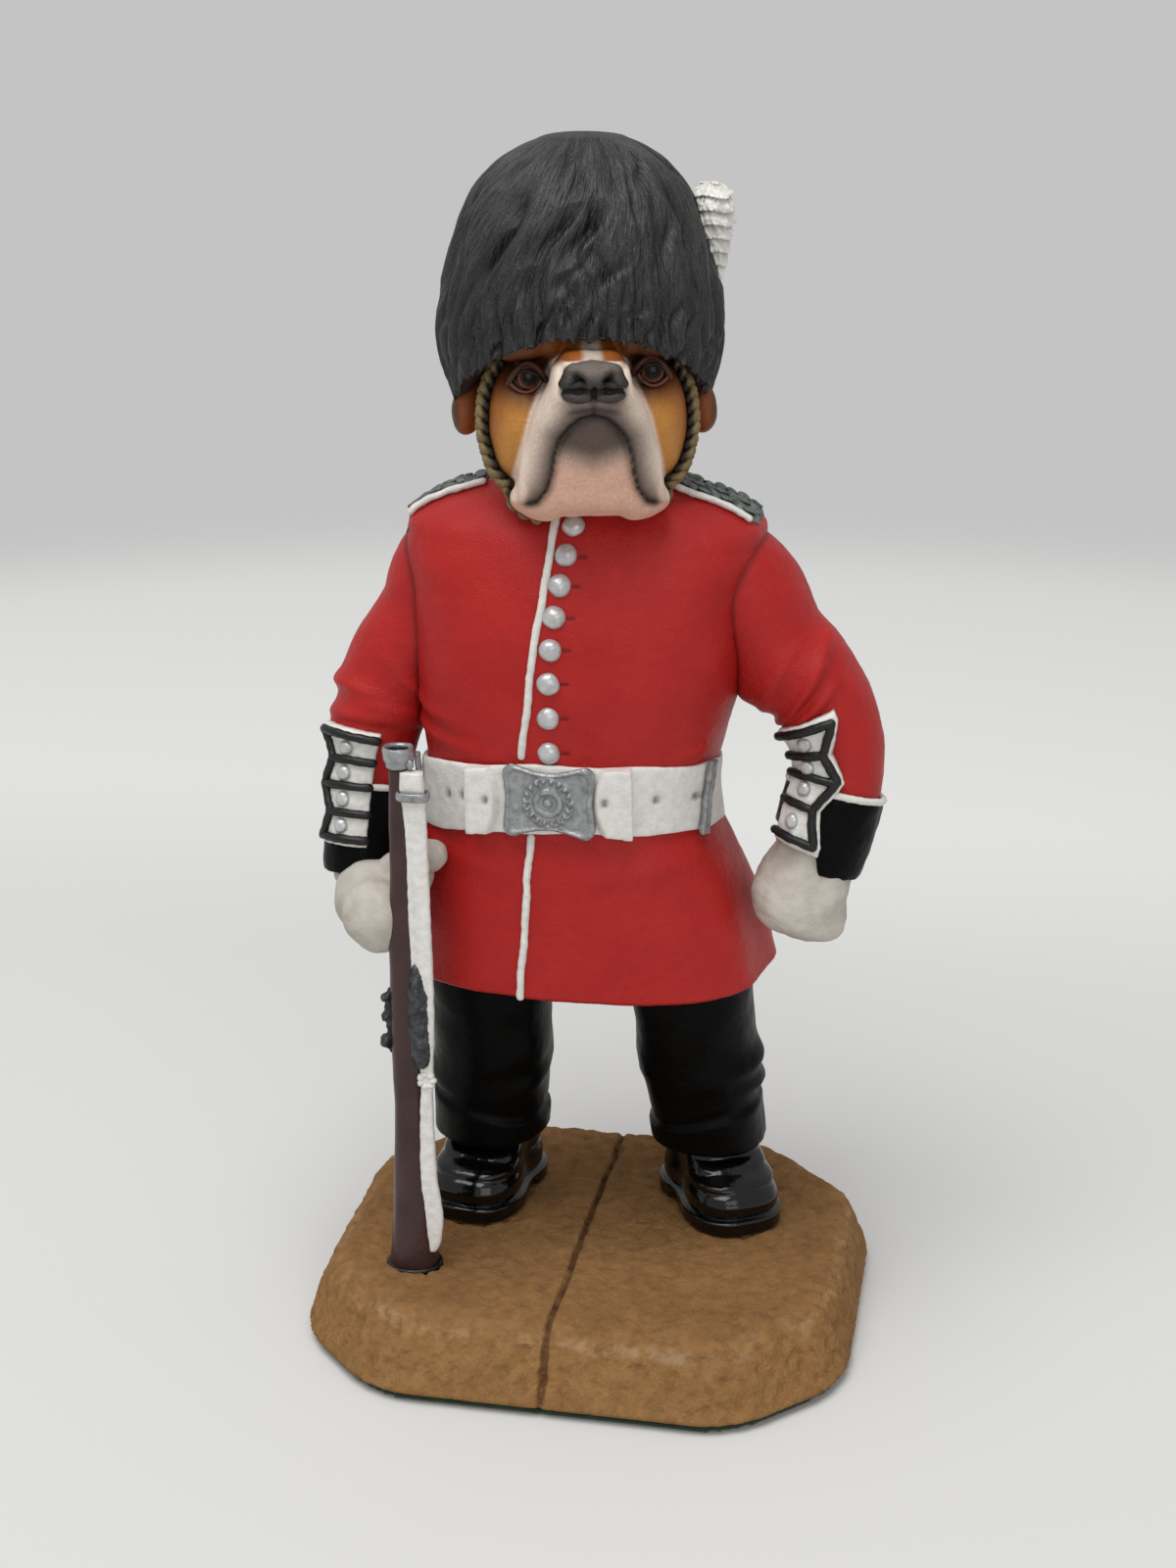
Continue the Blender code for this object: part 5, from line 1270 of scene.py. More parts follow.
for side, sign in EYE_SIDES.items():
    for name, inner, width, rise, radius, colour in LIDS:
        t = np.linspace(0, 1, 24)
        dx = inner + width * t
        dz = -0.2 + rise * np.sin(np.pi * t) ** 0.8 - 0.35 * t**4
        dy = -np.sqrt(np.maximum((EYE_RADIUS + 0.04) ** 2 - (dx * 0.86) ** 2 - dz**2, 0.25))
        path = np.stack((sign * (EYE_X + dx), EYE_Y + dy, EYE_HEIGHTS[side] + dz), 1)
        lid = cord(f"{side}_{name}_lid", [path], radius, 2)
        tint(lid, np.tile(linear(colour), (len(lid.data.vertices), 1)))
        eye_lids.append(lid)
head = joined([head, *eye_lids])
set_points(head, to_head(points_of(head)))
# Airbrushed fawn: soft edges between the colours, and a faint satin shine.
AIRBRUSH = airbrushed("airbrushed_fawn_paint", 0.5, 0.4, 0.05, 0.3)
fit(head, AIRBRUSH, "coat_fawn", "head")

# Nose
# Dark nose leather with two comma-shaped nostrils, over a rolled lip that is split in the middle.
# It is modelled on the muzzle in the same clay and painted by hand.
NOSE_VOXEL = 0.16
lumps = [((0, -18.7, 4.0), (3.4, 2.2, 1.6), (0, 0, 0)), ((0, -18.2, 4.8), (2.5, 1.8, 1.1), (0, 0, 0))]
for off, y, z, radii, tilt in (
    (1.7, -18.6, 4.6, (1.5, 1.6, 1.1), 0),
    (2.2, -18.7, 3.5, (1.5, 1.7, 1.0), 0),
    (1.55, -18.9, 2.3, (1.95, 1.5, 0.9), 8),
):
    lumps += [((sign * off, y, z), radii, (0, -sign * tilt, 0)) for sign in (-1, 1)]
nose = press(lumps, "nose_leather", 4)
apply(nose, "REMESH", mode="VOXEL", voxel_size=NOSE_VOXEL * MM)
apply(nose, "SMOOTH", factor=0.5, iterations=6)
places = points_of(nose)
x, y, z = places.T
off = np.abs(x)
nostril = np.exp(-(((off - 1.7 - 0.25 * (z - 4.1)) / 0.6) ** 2) - ((z - 4.1) / 0.8) ** 2)
nostril *= step(-18.3, -19.0, y)
wing = np.exp(-(((off - 2.5) / 0.35) ** 2) - ((z - 3.4) / 0.4) ** 2)
middle = hump(0, 0.2, off) * step(-18.3, -19.0, y) * step(3.8, 3.0, z)
under = hump(2.85, 0.2, z) * step(-18.0, -18.8, y)
dent = -1.5 * nostril - 0.25 * wing - 0.4 * middle - 0.4 * under
set_points(nose, to_head(places + normals_of(nose) * (dent + 0.06 * roughly(places, 0.6, 2))[:, None]))
tint(
    nose,
    blend(
        "#3C3531",
        [
            ("#6A615A", hump(5.3, 0.9, z) * step(3.4, 2.0, off)),
            ("#4A413C", 0.8 * hump(2.1, 0.6, z)),
            ("#14100E", step(1.5, 1.1, z)),
            ("#0A0807", nostril * 2.2 + 0.8 * wing + 0.95 * middle + under + step(2.6, 3.6, off) * 0.7),
        ],
    ),
)
# Satin nose paint: pebbled, so that the highlight breaks up and it looks damp.
NOSE_PAINT = airbrushed("satin_nose_paint", 0.5, 0.3, 0.16, 0.3)
fit(nose, NOSE_PAINT, "nose_black", "nose")

# Eyes
# A ball under each pair of lids. The black pupil, brown iris and dark ring are painted on it and
# varnished.

# Clear varnish over paint: the one wet shine of the face.
EYE_PAINT = airbrushed("varnished_eye_paint", 0.1, 0.6, 0.0, 0.18)
for side, sign in EYE_SIDES.items():
    bpy.ops.object.select_all(action="DESELECT")
    bpy.ops.mesh.primitive_ico_sphere_add(subdivisions=6, radius=1.0)
    eye = bpy.context.object
    eye.name = eye.data.name = side + "_painted_eye"
    ball = points_of(eye) * MM
    gaze = np.array((0.10 - 0.03 * sign, -0.98, 0.16))
    away = np.degrees(np.arccos(np.clip(ball @ (gaze / np.linalg.norm(gaze)), -1, 1)))
    bulge = 1 + 0.04 * step(48, 36, away)
    tint(
        eye,
        blend(
            "#2A1A17",
            [
                ("#140C0A", step(56, 50, away)),
                ("#6A3A2A", step(44, 40, away)),
                ("#32160E", step(38, 30, away)),
                ("#070404", step(27, 22, away)),
            ],
        ),
    )
    middle = np.array((sign * EYE_X, EYE_Y, EYE_HEIGHTS[side]))
    set_points(eye, to_head(ball * bulge[:, None] * EYE_RADIUS + middle))
    fit(eye, EYE_PAINT, "eye_brown", side + "_eye")

# Bearskin
# A tall cap of long fur, carved in the clay: fine strands that flow down from a whirl at the crown, parted
# by long hollows. It is painted charcoal and dry-brushed with grey, which stays on the ridges. The hollows
# are painted near black as painted shade, and the grey is painted heavier toward the crown as painted light.
CAP_TOP = 27.7
CAP_HALF_WIDTH = 15.6
CAP_RIM = -1.3
CAP_RISE = 9.1
FUR_LIFT = 0.5
CAP_X = -0.4
CAP_Y = 0.5
CAP_PROFILE = [
    # height over the middle of the skull, half width, half depth
    (-4.0, CAP_HALF_WIDTH - 2.6, 13.4),
    (-0.9, CAP_HALF_WIDTH - 1.6, 14.2),
    (1.5, CAP_HALF_WIDTH - 0.7, 15.0),
    (5.0, CAP_HALF_WIDTH, 15.6),
    (9.2, CAP_HALF_WIDTH, 15.6),
    (14.6, CAP_HALF_WIDTH - 1.2, 14.4),
    (19.4, CAP_HALF_WIDTH - 2.8, 12.7),
    (23.4, CAP_HALF_WIDTH - 5.4, 10.2),
    (25.6, CAP_HALF_WIDTH - 8.0, 7.6),
    (26.9, CAP_HALF_WIDTH - 10.8, 4.8),
    (27.5, CAP_HALF_WIDTH - 13.0, 2.6),
    (CAP_TOP, 0.6, 0.6),
]
HOLLOW_ROWS = [
    # upper and lower end as shares of the way from rim to crown, hollows in the row, half width, depth
    (1.00, 0.76, 7, 0.9, 1.1),
    (0.92, 0.56, 11, 0.9, 1.3),
    (0.76, 0.36, 13, 0.95, 1.3),
    (0.56, 0.14, 15, 0.9, 1.0),
    (0.42, -0.04, 36, 0.5, 0.8),
    (0.24, -0.08, 74, 0.34, 0.7),
]
by_hand = np.random.default_rng(11)


def cap_rim(angle):
    """Height of the rim, which arches over the face and dips at the back."""
    front, back = np.maximum(0.0, -np.sin(angle)), np.maximum(0.0, np.sin(angle))
    return CAP_RIM + CAP_RISE * front**1.45 - 2.4 * back**1.5


def sweep(angle, t):
    """How far the fur has turned round the cap on its way down, in radians."""
    return (0.34 - 0.26 * np.cos(angle)) * step(0.2, 1.05, t)


def hollows(angle, t, girth):
    """Depth of the hollows between locks. Each is deepest in its middle and steep on one side."""
    deep = np.zeros_like(t)
    for upper, lower, count, half, depth in HOLLOW_ROWS:
        for number in range(count):
            middle = 2 * np.pi * (number + by_hand.uniform(-0.35, 0.35)) / count
            top, foot = upper + by_hand.uniform(-0.08, 0.08), lower + by_hand.uniform(-0.09, 0.09)
            bend = by_hand.uniform(-0.05, 0.09)
            size = by_hand.uniform(0.55, 1.15)
            s = (top - t) / (top - foot)
            along = np.clip(s, 0, 1)
            turned = sweep(middle, t) - sweep(middle, (top + foot) / 2 + 0 * t)
            line = middle + turned + bend * np.sin(2 * np.pi * along)
            gap = ((angle - line + np.pi) % (2 * np.pi) - np.pi) * girth / half
            cut = np.where(gap > 0, hump(0, 0.6, gap), hump(0, 1.7, gap))
            deep = np.maximum(deep, size * depth * cut * step(0.0, 0.55, s) * step(1.0, 0.55, s))
    return deep


def locks(angle, t):
    """Depth of the partings between the locks, which wander and fade in and out."""
    around = np.stack((2.4 * np.cos(angle), 2.4 * np.sin(angle), 2.2 * t), 1)
    flow = angle - sweep(angle, t) + 0.2 * roughly(around, 1.0, 3) + 0.03 * roughly(around, 0.45, 8)
    shown = step(-0.15, 0.25, roughly(around, 0.8, 17))
    broad = (1 - np.abs(np.sin(10 * flow))) ** 1.3 * (0.3 + 0.7 * shown) * step(1.0, 0.9, t)
    fine = (1 - np.abs(np.sin(27 * flow + 3 * t))) ** 1.3
    fine *= (0.35 + 0.65 * step(0.55, 0.2, t)) * step(0.95, 0.8, t)
    return 0.58 * broad + 0.4 * fine


def cap_place(u, v):
    angle = 2 * np.pi * u
    stops = [0.0, 0.012, 0.03, 0.045, 0.06, 1.0]
    t = np.interp(v, stops, [0.12, 0.12, 0.1, 0.0, 0.0, 1.0])
    inside = np.interp(v, stops, [14.0, 5.0, 5.0, 1.2, 0.0, 0.0])
    rim = cap_rim(angle)
    z = rim + (CAP_TOP - rim) * t
    half_width, half_depth = smooth_rows(CAP_PROFILE, z)
    girth = np.maximum(half_width, 0.5)
    flow = angle - sweep(angle, t)
    strands = np.stack((15 * np.cos(flow), 15 * np.sin(flow), 4.0 * t), 1)
    comb = 0.6 * roughly(strands, 0.95, 4) + roughly(strands, 0.5, 9)
    outside = v >= 0.06
    deep = np.where(outside, hollows(angle, t, girth) + locks(angle, t), 0.0)
    lift = np.where(outside, FUR_LIFT - deep + 0.11 * comb * np.minimum(1, girth / 6), 0.0) - inside
    tuft = 0.1 * hump(1.0, 0.05, t)
    # The depth of the hollows is marked for near-black painted shade.
    cap_marks.update(groove=np.clip(deep, 0, 1), strand=strands)
    lean = 0.3 * (np.maximum(0.0, z) / CAP_TOP) ** 2
    reach = np.minimum(1, girth / 2.5)
    a = np.maximum(half_width + lift * reach, 0) * np.cos(angle) + lean + CAP_X
    b = np.maximum(half_depth + lift * reach, 0) * np.sin(angle) + CAP_Y
    tips = 0.3 * np.cos(78 * angle + 4 * roughly(strands, 2.5, 2))
    tips -= 0.3 * comb + 0.7 * roughly(strands, 1.9, 2)
    ragged = outside * step(0.07, 0.0, t) * (tips - 0.3)
    crown = t > 0.9999
    a, b = np.where(crown, lean + CAP_X, a), np.where(crown, CAP_Y, b)
    return to_head(np.stack((a, b, z + ragged + tuft), 1)).T


def dry_brushed(name):
    """Charcoal paint with grey dragged over it, heavier toward the crown as painted top light. The strands
    catch thin broken lines of light, and the hollows get painted shade.
    """
    coat, tree, surface, place = bare_coat(name)
    strand = add_node(tree, "Attribute", attribute_name="strand")
    groove = add_node(tree, "Attribute", attribute_name="groove")
    comb = add_node(tree, "TexNoise", {"Vector": strand.outputs["Vector"], "Scale": 1 / 0.3, "Detail": 2.0})
    fleck = add_node(
        tree, "TexNoise", {"Vector": place, "Scale": 1 / (0.18 * MM), "Detail": 2.0, "Roughness": 0.7}
    )
    high = add_node(tree, "Math", {0: comb.outputs[0], 1: fleck.outputs[0]}, operation="ADD")
    height = add_node(tree, "SeparateXYZ", {0: strand.outputs["Vector"]})
    # The grey drag grows toward the crown: painted light from above.
    painted_top_light = add_node(tree, "MapRange", {0: height.outputs["Z"], 1: 0.8, 2: 3.4, 3: 0.2, 4: 1.0})
    drag = add_node(tree, "MapRange", {0: high.outputs[0], 1: 0.9, 2: 1.35, 3: 0.0})
    tree.links.new(painted_top_light.outputs[0], drag.inputs[4])
    grey = add_node(
        tree, "Mix", {0: drag.outputs[0], 6: linear("#121213"), 7: linear("#545453")}, data_type="RGBA"
    )
    # The hollows are mixed to near black: painted shade.
    shaded_hollows = add_node(
        tree, "Mix", {0: groove.outputs["Fac"], 6: grey.outputs[2], 7: linear("#070707")}, data_type="RGBA"
    )
    dust = add_node(tree, "MapRange", {0: fleck.outputs[0], 1: 0.62, 2: 0.74, 3: 0.0, 4: 0.6})
    dusty = add_node(
        tree, "Mix", {0: dust.outputs[0], 6: shaded_hollows.outputs[2], 7: linear("#6E6E6A")}, data_type="RGBA"
    )
    bump = add_node(tree, "Bump", {"Height": comb.outputs[0], "Distance": 0.26 * MM})
    tree.links.new(dusty.outputs[2], surface.inputs["Base Color"])
    tree.links.new(bump.outputs[0], surface.inputs["Normal"])
    sheen = add_node(tree, "MapRange", {0: fleck.outputs[0], 1: 0.3, 2: 0.7, 3: 0.44, 4: 0.58})
    tree.links.new(sheen.outputs[0], surface.inputs["Roughness"])
    return coat


cap_marks = {}
bearskin = wrap("bearskin_fur", 400, 220, cap_place, cap_marks)
# Charcoal dry-brushed with grey: the strands catch the light, the partings are painted near black as
# painted shade, and the grey is painted heavier toward the crown as painted top light.
BEARSKIN = dry_brushed("charcoal_dry_brushed_paint")
fit(bearskin, BEARSKIN, "bearskin_black", "bearskin_cap")

# Plume
# A short white hackle on the dog's left side of the cap: rows of curled tufts that thin out to wisps.
# It is a small casting of its own, glued on.
PLUME_FOOT = 5.6
PLUME_HEIGHT = 16.6
PLUME_TUFTS = 11
PLUME_X = 14.1
PLUME_Y = 2.6


def plume_place(u, v):
    angle = 2 * np.pi * u
    t, shut = capped(v, 0.02, 0.0, 1.0)
    taper = 0.16 + 0.84 * np.minimum(1.0, t * 1.35)
    close = np.sqrt(np.maximum(0.03, 1 - np.maximum(0.0, (t - 0.84) / 0.17) ** 2))
    row = (t * PLUME_TUFTS + 0.12 * np.sin(3 * angle + 5 * t)) % 1.0
    tuft = 0.42 * (1 - row) ** 0.7 * step(0.3, 0.5, t) - 0.1
    hair = np.stack((6 * angle + 3 * np.sin(9 * t), 26 * t, 4 * np.sin(angle)), 1)
    curl = 0.35 * roughly(hair * (1.0, 0.35, 0.5), 1.0, 3) + 0.2 * roughly(hair, 0.8, 6)
    x = PLUME_X + 0.3 * hump(0.6, 0.4, t) + (2.2 * close + tuft + curl) * taper * shut * np.cos(angle)
    y = PLUME_Y + (3.0 * close + tuft + curl) * taper * shut * np.sin(angle)
    # The crevice under each row of tufts is marked for grey painted shade.
    plume_marks.update(groove=np.clip(row**3 * step(0.3, 0.5, t) - curl, 0, 1))
    return to_head(np.stack((x, y, PLUME_FOOT + PLUME_HEIGHT * t), 1)).T


plume_marks = {}
# White paint, with grey painted in under each row of tufts as painted shade, so that each one stands apart.
PLUME_WHITE = painted_resin(
    "white_plume_paint", "#F1F0EC", "#D2CFC8", "#F8F8F6", 0.6, 0.4, 0.12, 1.2, 0.1, "#B0ABA3"
)
plume = wrap("white_plume", 110, 170, plume_place, plume_marks)
fit(plume, PLUME_WHITE, "white_trim", "plume")

# Chin chain
# A three-strand plait down each cheek, from under the cap to behind the lip. It is painted khaki gold,
# and near black where it lies close to the face: painted shade under the plait and in its gaps.
CHAIN_TURNS = 4.2
CHAIN_STRAND = 0.44
CHAIN_HALF_WIDTH = 0.62
face = BVHTree.FromObject(head, bpy.context.evaluated_depsgraph_get())
# Khaki gold: a dull old-gold shine, and near black as painted shade where the plait lies close to the face.
CHAIN_GOLD = painted_resin(
    "khaki_gold_paint", "#847049", "#6A5834", "#A89468", 0.5, 0.35, 0.1, 1.0, 0.2, "#1B140C"
)
for side, sign in (("left", 1), ("right", -1)):
    strands = [[], [], []]
    for t in np.linspace(-0.12, 1.03, 130):
        turn = math.radians(CHAIN_START + CHAIN_SWEEP * t)
        out = np.array((sign * math.cos(turn), 0, -math.sin(turn)))
        start = np.array((0, CHAIN_Y - CHAIN_FORWARD * t, CHEEK_HEIGHT)) + out * 30
        ends = to_head(np.array((start, start - out)))
        place, normal, _, _ = face.ray_cast(Vector(ends[0]) * MM, Vector(ends[1] - ends[0]))
        outward = Vector(ends[0] - ends[1])
        normal = (normal + outward).normalized()
        down = Vector(to_head(np.array(((math.sin(turn) * sign, 0, math.cos(turn)), (0, 0, 0))))[0] - HEAD)
        across = normal.cross(down).normalized()
        for number, strand in enumerate(strands):
            phase = 2 * math.pi * (CHAIN_TURNS * t + number / 3)
            beside = across * CHAIN_HALF_WIDTH * math.sin(phase)
            above = normal * (0.6 + 0.42 * math.sin(2 * phase))
            strand.append(place / MM + beside + above)
    chain = cord(side + "_plaited_chain", strands, CHAIN_STRAND, 3)
    # Points close to the face are marked for near-black painted shade.
    gaps = [face.find_nearest(Vector(p) * MM)[3] / MM for p in points_of(chain)]
    mark(chain, "groove", step(1.05, 0.5, np.array(gaps)))
    fit(chain, CHAIN_GOLD, "chain_gold", side + "_chin_chain")

# Rifle stock
# A slim rifle stands on its butt in a socket of the slab. Its stock is painted a dark maroon brown
# with a satin varnish, and black paint runs round the socket.
RIFLE_FOOT = (-19.8, -12.5, 9.0)
LEAN_SIDEWAYS = Matrix.Rotation(math.radians(-0.7), 4, "Y")
LEAN_BACK = Matrix.Rotation(math.radians(-1.3), 4, "X")
RIFLE = np.array(Matrix.Translation(RIFLE_FOOT) @ LEAN_SIDEWAYS @ LEAN_BACK)
STOCK = [
    # height, half width, half depth, middle x, middle y
    (-2.0, 2.9, 2.6, 0.0, 0.0),
    (1.0, 2.85, 2.6, 0.0, 0.0),
    (6.0, 2.5, 2.3, 0.1, 0.0),
    (13.0, 2.1, 1.9, 0.0, 0.0),
    (20.0, 1.8, 1.7, 0.0, 0.0),
    (29.0, 2.0, 1.8, 0.1, 0.0),
    (38.0, 1.8, 1.7, 0.0, 0.0),
    (50.0, 1.4, 1.4, 0.0, 0.0),
    (62.4, 1.2, 1.2, 0.0, 0.0),
]


def to_rifle(points):
    """Points of the rifle's own frame, in the slab's."""
    return np.asarray(points) @ RIFLE[:3, :3].T + RIFLE[:3, 3]


def stock_place(u, v):
    z, shut = capped(v, 0.01, STOCK[0][0], STOCK[-1][0])
    half_width, half_depth, x, y = smooth_rows(STOCK, z)
    a, b = oval(2 * np.pi * u, half_width * shut, half_depth * shut, 2.3)
    groove = 0.18 * hump(0.0, 0.25, b + 0.2) * (a > 0) * step(37, 40, z)
    return to_rifle(np.stack((x + a - groove, y + b, z), 1)).T


# Satin varnish over maroon brown: a long soft highlight runs down the stock.
STOCK_MAROON = painted_resin(
    "satin_maroon_varnish", "#3F2726", "#2C1A1A", "#6B4A47", 0.34, 0.9, 0.06, 5.0, 0.06, "#080606"
)
stock = wrap("maroon_stock", 48, 200, stock_place)
mark(stock, "groove", np.zeros(len(stock.data.vertices)))
spread = np.linspace(0, 2 * np.pi, 50)
edge = np.stack((3.0 * np.cos(spread), 2.75 * np.sin(spread), 0 * spread - 0.1), 1)
socket = cord("socket_paint", [to_rifle(edge)], 0.4)
mark(socket, "groove", np.ones(len(socket.data.vertices)))
stock = joined([stock, socket])
places = points_of(stock)
set_points(stock, places + normals_of(stock) * (0.12 * roughly(places * (1, 1, 0.4), 1.6, 3))[:, None])
fit(stock, STOCK_MAROON, "stock_maroon", "rifle_stock")

# Muzzle
# A flared silver cup at the top of the barrel, with a blue-black bore and a small sight block.
# It is cast with the stock and picked out in paint.
MUZZLE_CUP = [
    # along the profile, radius, height
    (0.0, 0.0, 62.45), (0.12, 1.25, 62.45), (0.2, 1.38, 62.6), (0.34, 1.42, 63.0), (0.44, 1.68, 63.5),
    (0.6, 1.82, 64.6), (0.68, 1.7, 64.95), (0.76, 1.45, 64.9), (0.82, 1.28, 64.7), (0.88, 1.22, 64.15),
    (1.0, 0.0, 64.15),
]


def cup_place(u, v):
    radius, z = straight_rows(MUZZLE_CUP, v)
    angle = 2 * np.pi * u
    cup_marks.update(groove=step(0.8, 0.86, v))
    return to_rifle(np.stack((radius * np.cos(angle), radius * np.sin(angle), z), 1)).T


cup_marks = {}
# Silver paint: bright along the rim, over a bore that stays dark.
MUZZLE_SILVER = painted_resin(
    "silver_muzzle_paint", "#A9ABAC", "#85888A", "#DADBDB", 0.35, 0.5, 0.07, 1.5, 0.1, "#1B1E24", metal=0.55
)
cup = wrap("silver_muzzle_cup", 48, 60, cup_place, cup_marks)
sight = press([((1.55, -0.75, 63.1), (0.45, 0.4, 0.6), (0, 0, 0))], "sight_block", 3)
set_points(sight, to_rifle(points_of(sight)))
mark(sight, "groove", np.zeros(len(sight.data.vertices)))
cup = joined([cup, sight])
roughen(cup, (0.07, 0.7, 3))
fit(cup, MUZZLE_SILVER, "silver_trim", "rifle_muzzle")

# Action and bolt
# A dark grey lock plate in two lobes on one side of the stock, and the bolt with three knobs on the other.
# Both are rough castings, rubbed with metallic grey.
LOCK_VOXEL = 0.16
# Gunmetal rubbed over black: a patchy grey shine on rough castings.
GUN_GREY = painted_resin(
    "rubbed_gunmetal_paint", "#4A4C4E", "#232426", "#8B8E90", 0.42, 0.4, 0.16, 1.2, 0.25, metal=0.4
)
for name, node, lumps in (
    (
        "lock_plate", "rifle_action",
        [
            ((1.7, -1.3, 32.6), (1.35, 1.0, 6.7), (0, 0, 0)),
            ((2.0, -1.5, 28.2), (1.15, 1.0, 2.2), (0, 0, 0)),
            ((1.5, -1.9, 34.4), (0.7, 0.6, 3.4), (0, 4, 0)),
            ((2.2, -1.9, 31.2), (0.6, 0.5, 1.0), (0, 20, 0)),
        ],
    ),
    (
        "bolt_and_knobs", "rifle_bolt",
        [
            ((-2.0, 0.0, 31.4), (0.5, 0.8, 4.2), (0, 0, 0)),
            ((-2.45, -0.2, 34.4), (0.65, 0.8, 0.6), (0, 0, 0)),
            ((-2.45, -0.2, 31.9), (0.7, 0.8, 0.6), (0, 20, 0)),
            ((-2.5, -0.2, 28.8), (0.85, 0.85, 0.8), (0, -20, 0)),
        ],
    ),
):
    plate = press(lumps, name, 4)
    apply(plate, "REMESH", mode="VOXEL", voxel_size=LOCK_VOXEL * MM)
    apply(plate, "SMOOTH", factor=0.5, iterations=4)
    roughen(plate, (0.22, 1.1, 6), (0.16, 0.5, 2))
    set_points(plate, to_rifle(points_of(plate)))
    fit(plate, GUN_GREY, "action_grey", node)

# Sling
# A white strap down the front of the rifle, with a loop at the top held by a silver band, a knotted
# ring beside the lock, and a frayed end near the butt.
SLING = [
    # height, half width, middle x
    (2.2, 0.3, 2.6),
    (3.4, 0.8, 2.55),
    (5.0, 1.35, 2.45),
    (12.0, 1.05, 2.3),
    (22.0, 0.75, 2.4),
    (25.0, 0.7, 2.5),
    (30.0, 1.1, 2.4),
    (44.0, 1.3, 2.2),
    (57.0, 1.3, 2.0),
    (60.0, 1.4, 1.8),
    (62.3, 1.35, 1.75),
]
SLING_THICKNESS = 1.1


def sling_place(u, v):
    z, shut = capped(v, 0.008, SLING[0][0], SLING[-1][0])
    half, x = smooth_rows(SLING, z)
    block = 0.25 * step(59.9, 60.3, z)
    fray = 0.25 * hump(3.0, 1.4, z) * np.sin(7 * np.pi * u)
    a, b = oval(2 * np.pi * u, (half + fray) * shut, (SLING_THICKNESS / 2 + block) * shut, 3.2)
    line = 0.2 * hump(-0.55, 0.12, a / np.maximum(half, 0.3)) * (b < 0) * step(24, 28, z) * step(58, 56, z)
    return to_rifle(np.stack((x + a, -1.0 + b + line, z), 1)).T


sling = wrap("white_sling", 64, 260, sling_place)
knots = [
    ((2.5 + 0.75 * math.cos(a), -1.25, 24.6 + 0.75 * math.sin(a)), (0.5, 0.55, 0.42), (0, 30 * n, 0))
    for n, a in enumerate(np.linspace(0, 2 * np.pi, 8)[:-1])
]
ring = press(knots, "knotted_ring", 3)
set_points(ring, to_rifle(points_of(ring)))
sling = joined([sling, ring])
roughen(sling, (0.07, 0.9, 4))
fit(sling, WHITE, "white_trim", "rifle_sling")


def band_place(u, v):
    out, up = oval(2 * np.pi * v, 0.22, 0.5, 3.0)
    a, b = oval(2 * np.pi * u, 1.72 + out, 1.05 + out, 3.0)
    return to_rifle(np.stack((1.85 + a, -1.0 + b, 59.5 + up), 1)).T


band = wrap("silver_sling_band", 60, 20, band_place)
fit(band, SILVER, "silver_trim", "sling_band")

# Studio
# The figurine stands on a round pale sheet that fades into a grey background. The sheet is painted
# lighter behind the figurine, a painted pool of light. One broad soft lamp is nearly overhead, with a
# dimmer one in front and even light all round.
CAMERA_TARGET = (-0.9, 0.0, 67.0)
CAMERA_DISTANCE = 274.0
CAMERA_AZIMUTH = 11.0
CAMERA_ELEVATION = 19.0
CAMERA_LENS = 54.0
FILM_WIDTH = 36.0
LAMP_TARGET = (0, 0, 0.07)
BACKDROP = "#C4C4C4"
AROUND = 0.5
SHEET_PAINTED_LIGHT = (0.09, 0.19)
SHEET_FADE = (0.36, 0.46)


def facing(place, target):
    """The turn of a lamp or camera at place, in metres, that looks at target."""
    return (Vector(target) - Vector(place)).to_track_quat("-Z", "Y").to_euler()


bpy.ops.object.select_all(action="DESELECT")
bpy.ops.mesh.primitive_circle_add(vertices=96, radius=SHEET_FADE[1], fill_type="NGON")
floor = bpy.context.object
floor.name = "pale_floor"
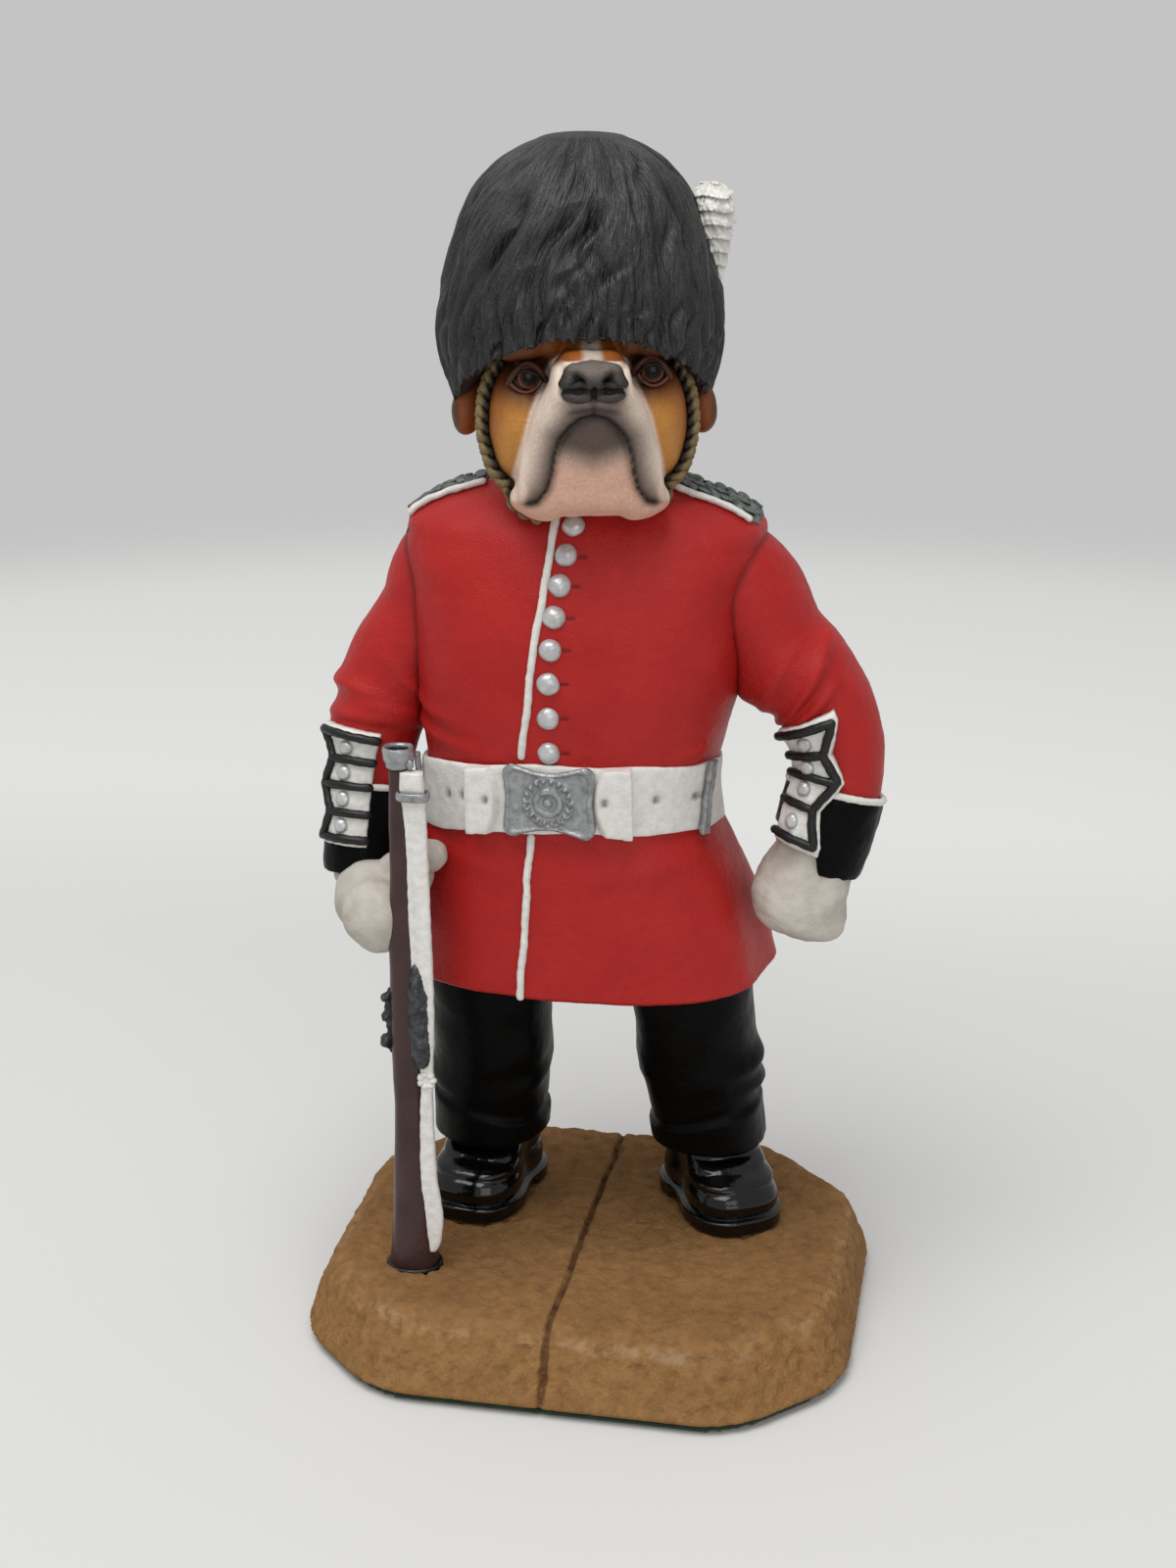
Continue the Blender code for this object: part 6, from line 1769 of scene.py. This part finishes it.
# Plain paper: matt, so that it takes the soft shadow. It is painted lighter behind the figurine: a painted
# pool of light.
PALE_SHEET, tree, sheet, spot = bare_coat("pale_paper_sheet")
sheet.inputs["Roughness"].default_value = 0.9
sheet.inputs["Specular IOR Level"].default_value = 0.1
away = add_node(tree, "VectorMath", {0: spot}, operation="LENGTH")
behind = add_node(tree, "SeparateXYZ", {0: spot})
fade = add_node(
    tree, "MapRange", {0: away.outputs["Value"], 1: SHEET_FADE[0], 2: SHEET_FADE[1], 3: 1.0, 4: 0.0},
    interpolation_type="SMOOTHSTEP",
)
# Lighter paper behind the figurine: a painted pool of light.
painted_light_behind = add_node(
    tree, "MapRange", {0: behind.outputs["Y"], 1: SHEET_PAINTED_LIGHT[0], 2: SHEET_PAINTED_LIGHT[1], 3: 0.0, 4: 1.0},
    interpolation_type="SMOOTHSTEP",
)
pale = add_node(
    tree, "Mix", {0: painted_light_behind.outputs[0], 6: linear("#D6D6D4"), 7: linear("#E4E4E2")}, data_type="RGBA"
)
tree.links.new(pale.outputs[2], sheet.inputs["Base Color"])
tree.links.new(fade.outputs[0], sheet.inputs["Alpha"])
floor.data.materials.append(PALE_SHEET)

world = bpy.data.worlds.new("even_light")
bpy.context.scene.world = world
world.use_nodes = True
sky = world.node_tree
path = add_node(sky, "LightPath").outputs
seen = add_node(sky, "Math", {0: path["Is Camera Ray"], 1: path["Is Glossy Ray"]}, operation="ADD")
seen = add_node(
    sky, "Math", {0: seen.outputs[0], 1: path["Is Transmission Ray"]}, operation="ADD", use_clamp=True
)
shown = add_node(
    sky, "Mix", {0: seen.outputs[0], 6: (AROUND, AROUND, AROUND, 1.0), 7: linear(BACKDROP)}, data_type="RGBA"
)
sky.links.new(shown.outputs[2], sky.nodes["Background"].inputs["Color"])

for name, place, watts, size in (
    ("broad_lamp", (-0.12, -0.24, 0.85), 5.2, 0.6),
    ("fill_lamp", (0.35, -0.75, 0.4), 1.2, 0.5),
):
    lamp = bpy.data.objects.new(name, bpy.data.lights.new(name, "AREA"))
    lamp.data.energy = watts
    lamp.data.size = size
    lamp.location = place
    lamp.rotation_euler = facing(place, LAMP_TARGET)
    bpy.context.scene.collection.objects.link(lamp)

azimuth, elevation = math.radians(CAMERA_AZIMUTH), math.radians(CAMERA_ELEVATION)
level = math.cos(elevation)
away = Vector((math.sin(azimuth) * level, -math.cos(azimuth) * level, math.sin(elevation)))
camera = bpy.data.objects.new("camera", bpy.data.cameras.new("camera"))
camera.data.lens = CAMERA_LENS
camera.data.sensor_width = FILM_WIDTH
camera.data.clip_start = 0.01
camera.location = (Vector(CAMERA_TARGET) + away * CAMERA_DISTANCE) * MM
camera.rotation_euler = facing(camera.location, Vector(CAMERA_TARGET) * MM)
bpy.context.scene.collection.objects.link(camera)
bpy.context.scene.camera = camera
bpy.context.scene.view_settings.view_transform = "Standard"
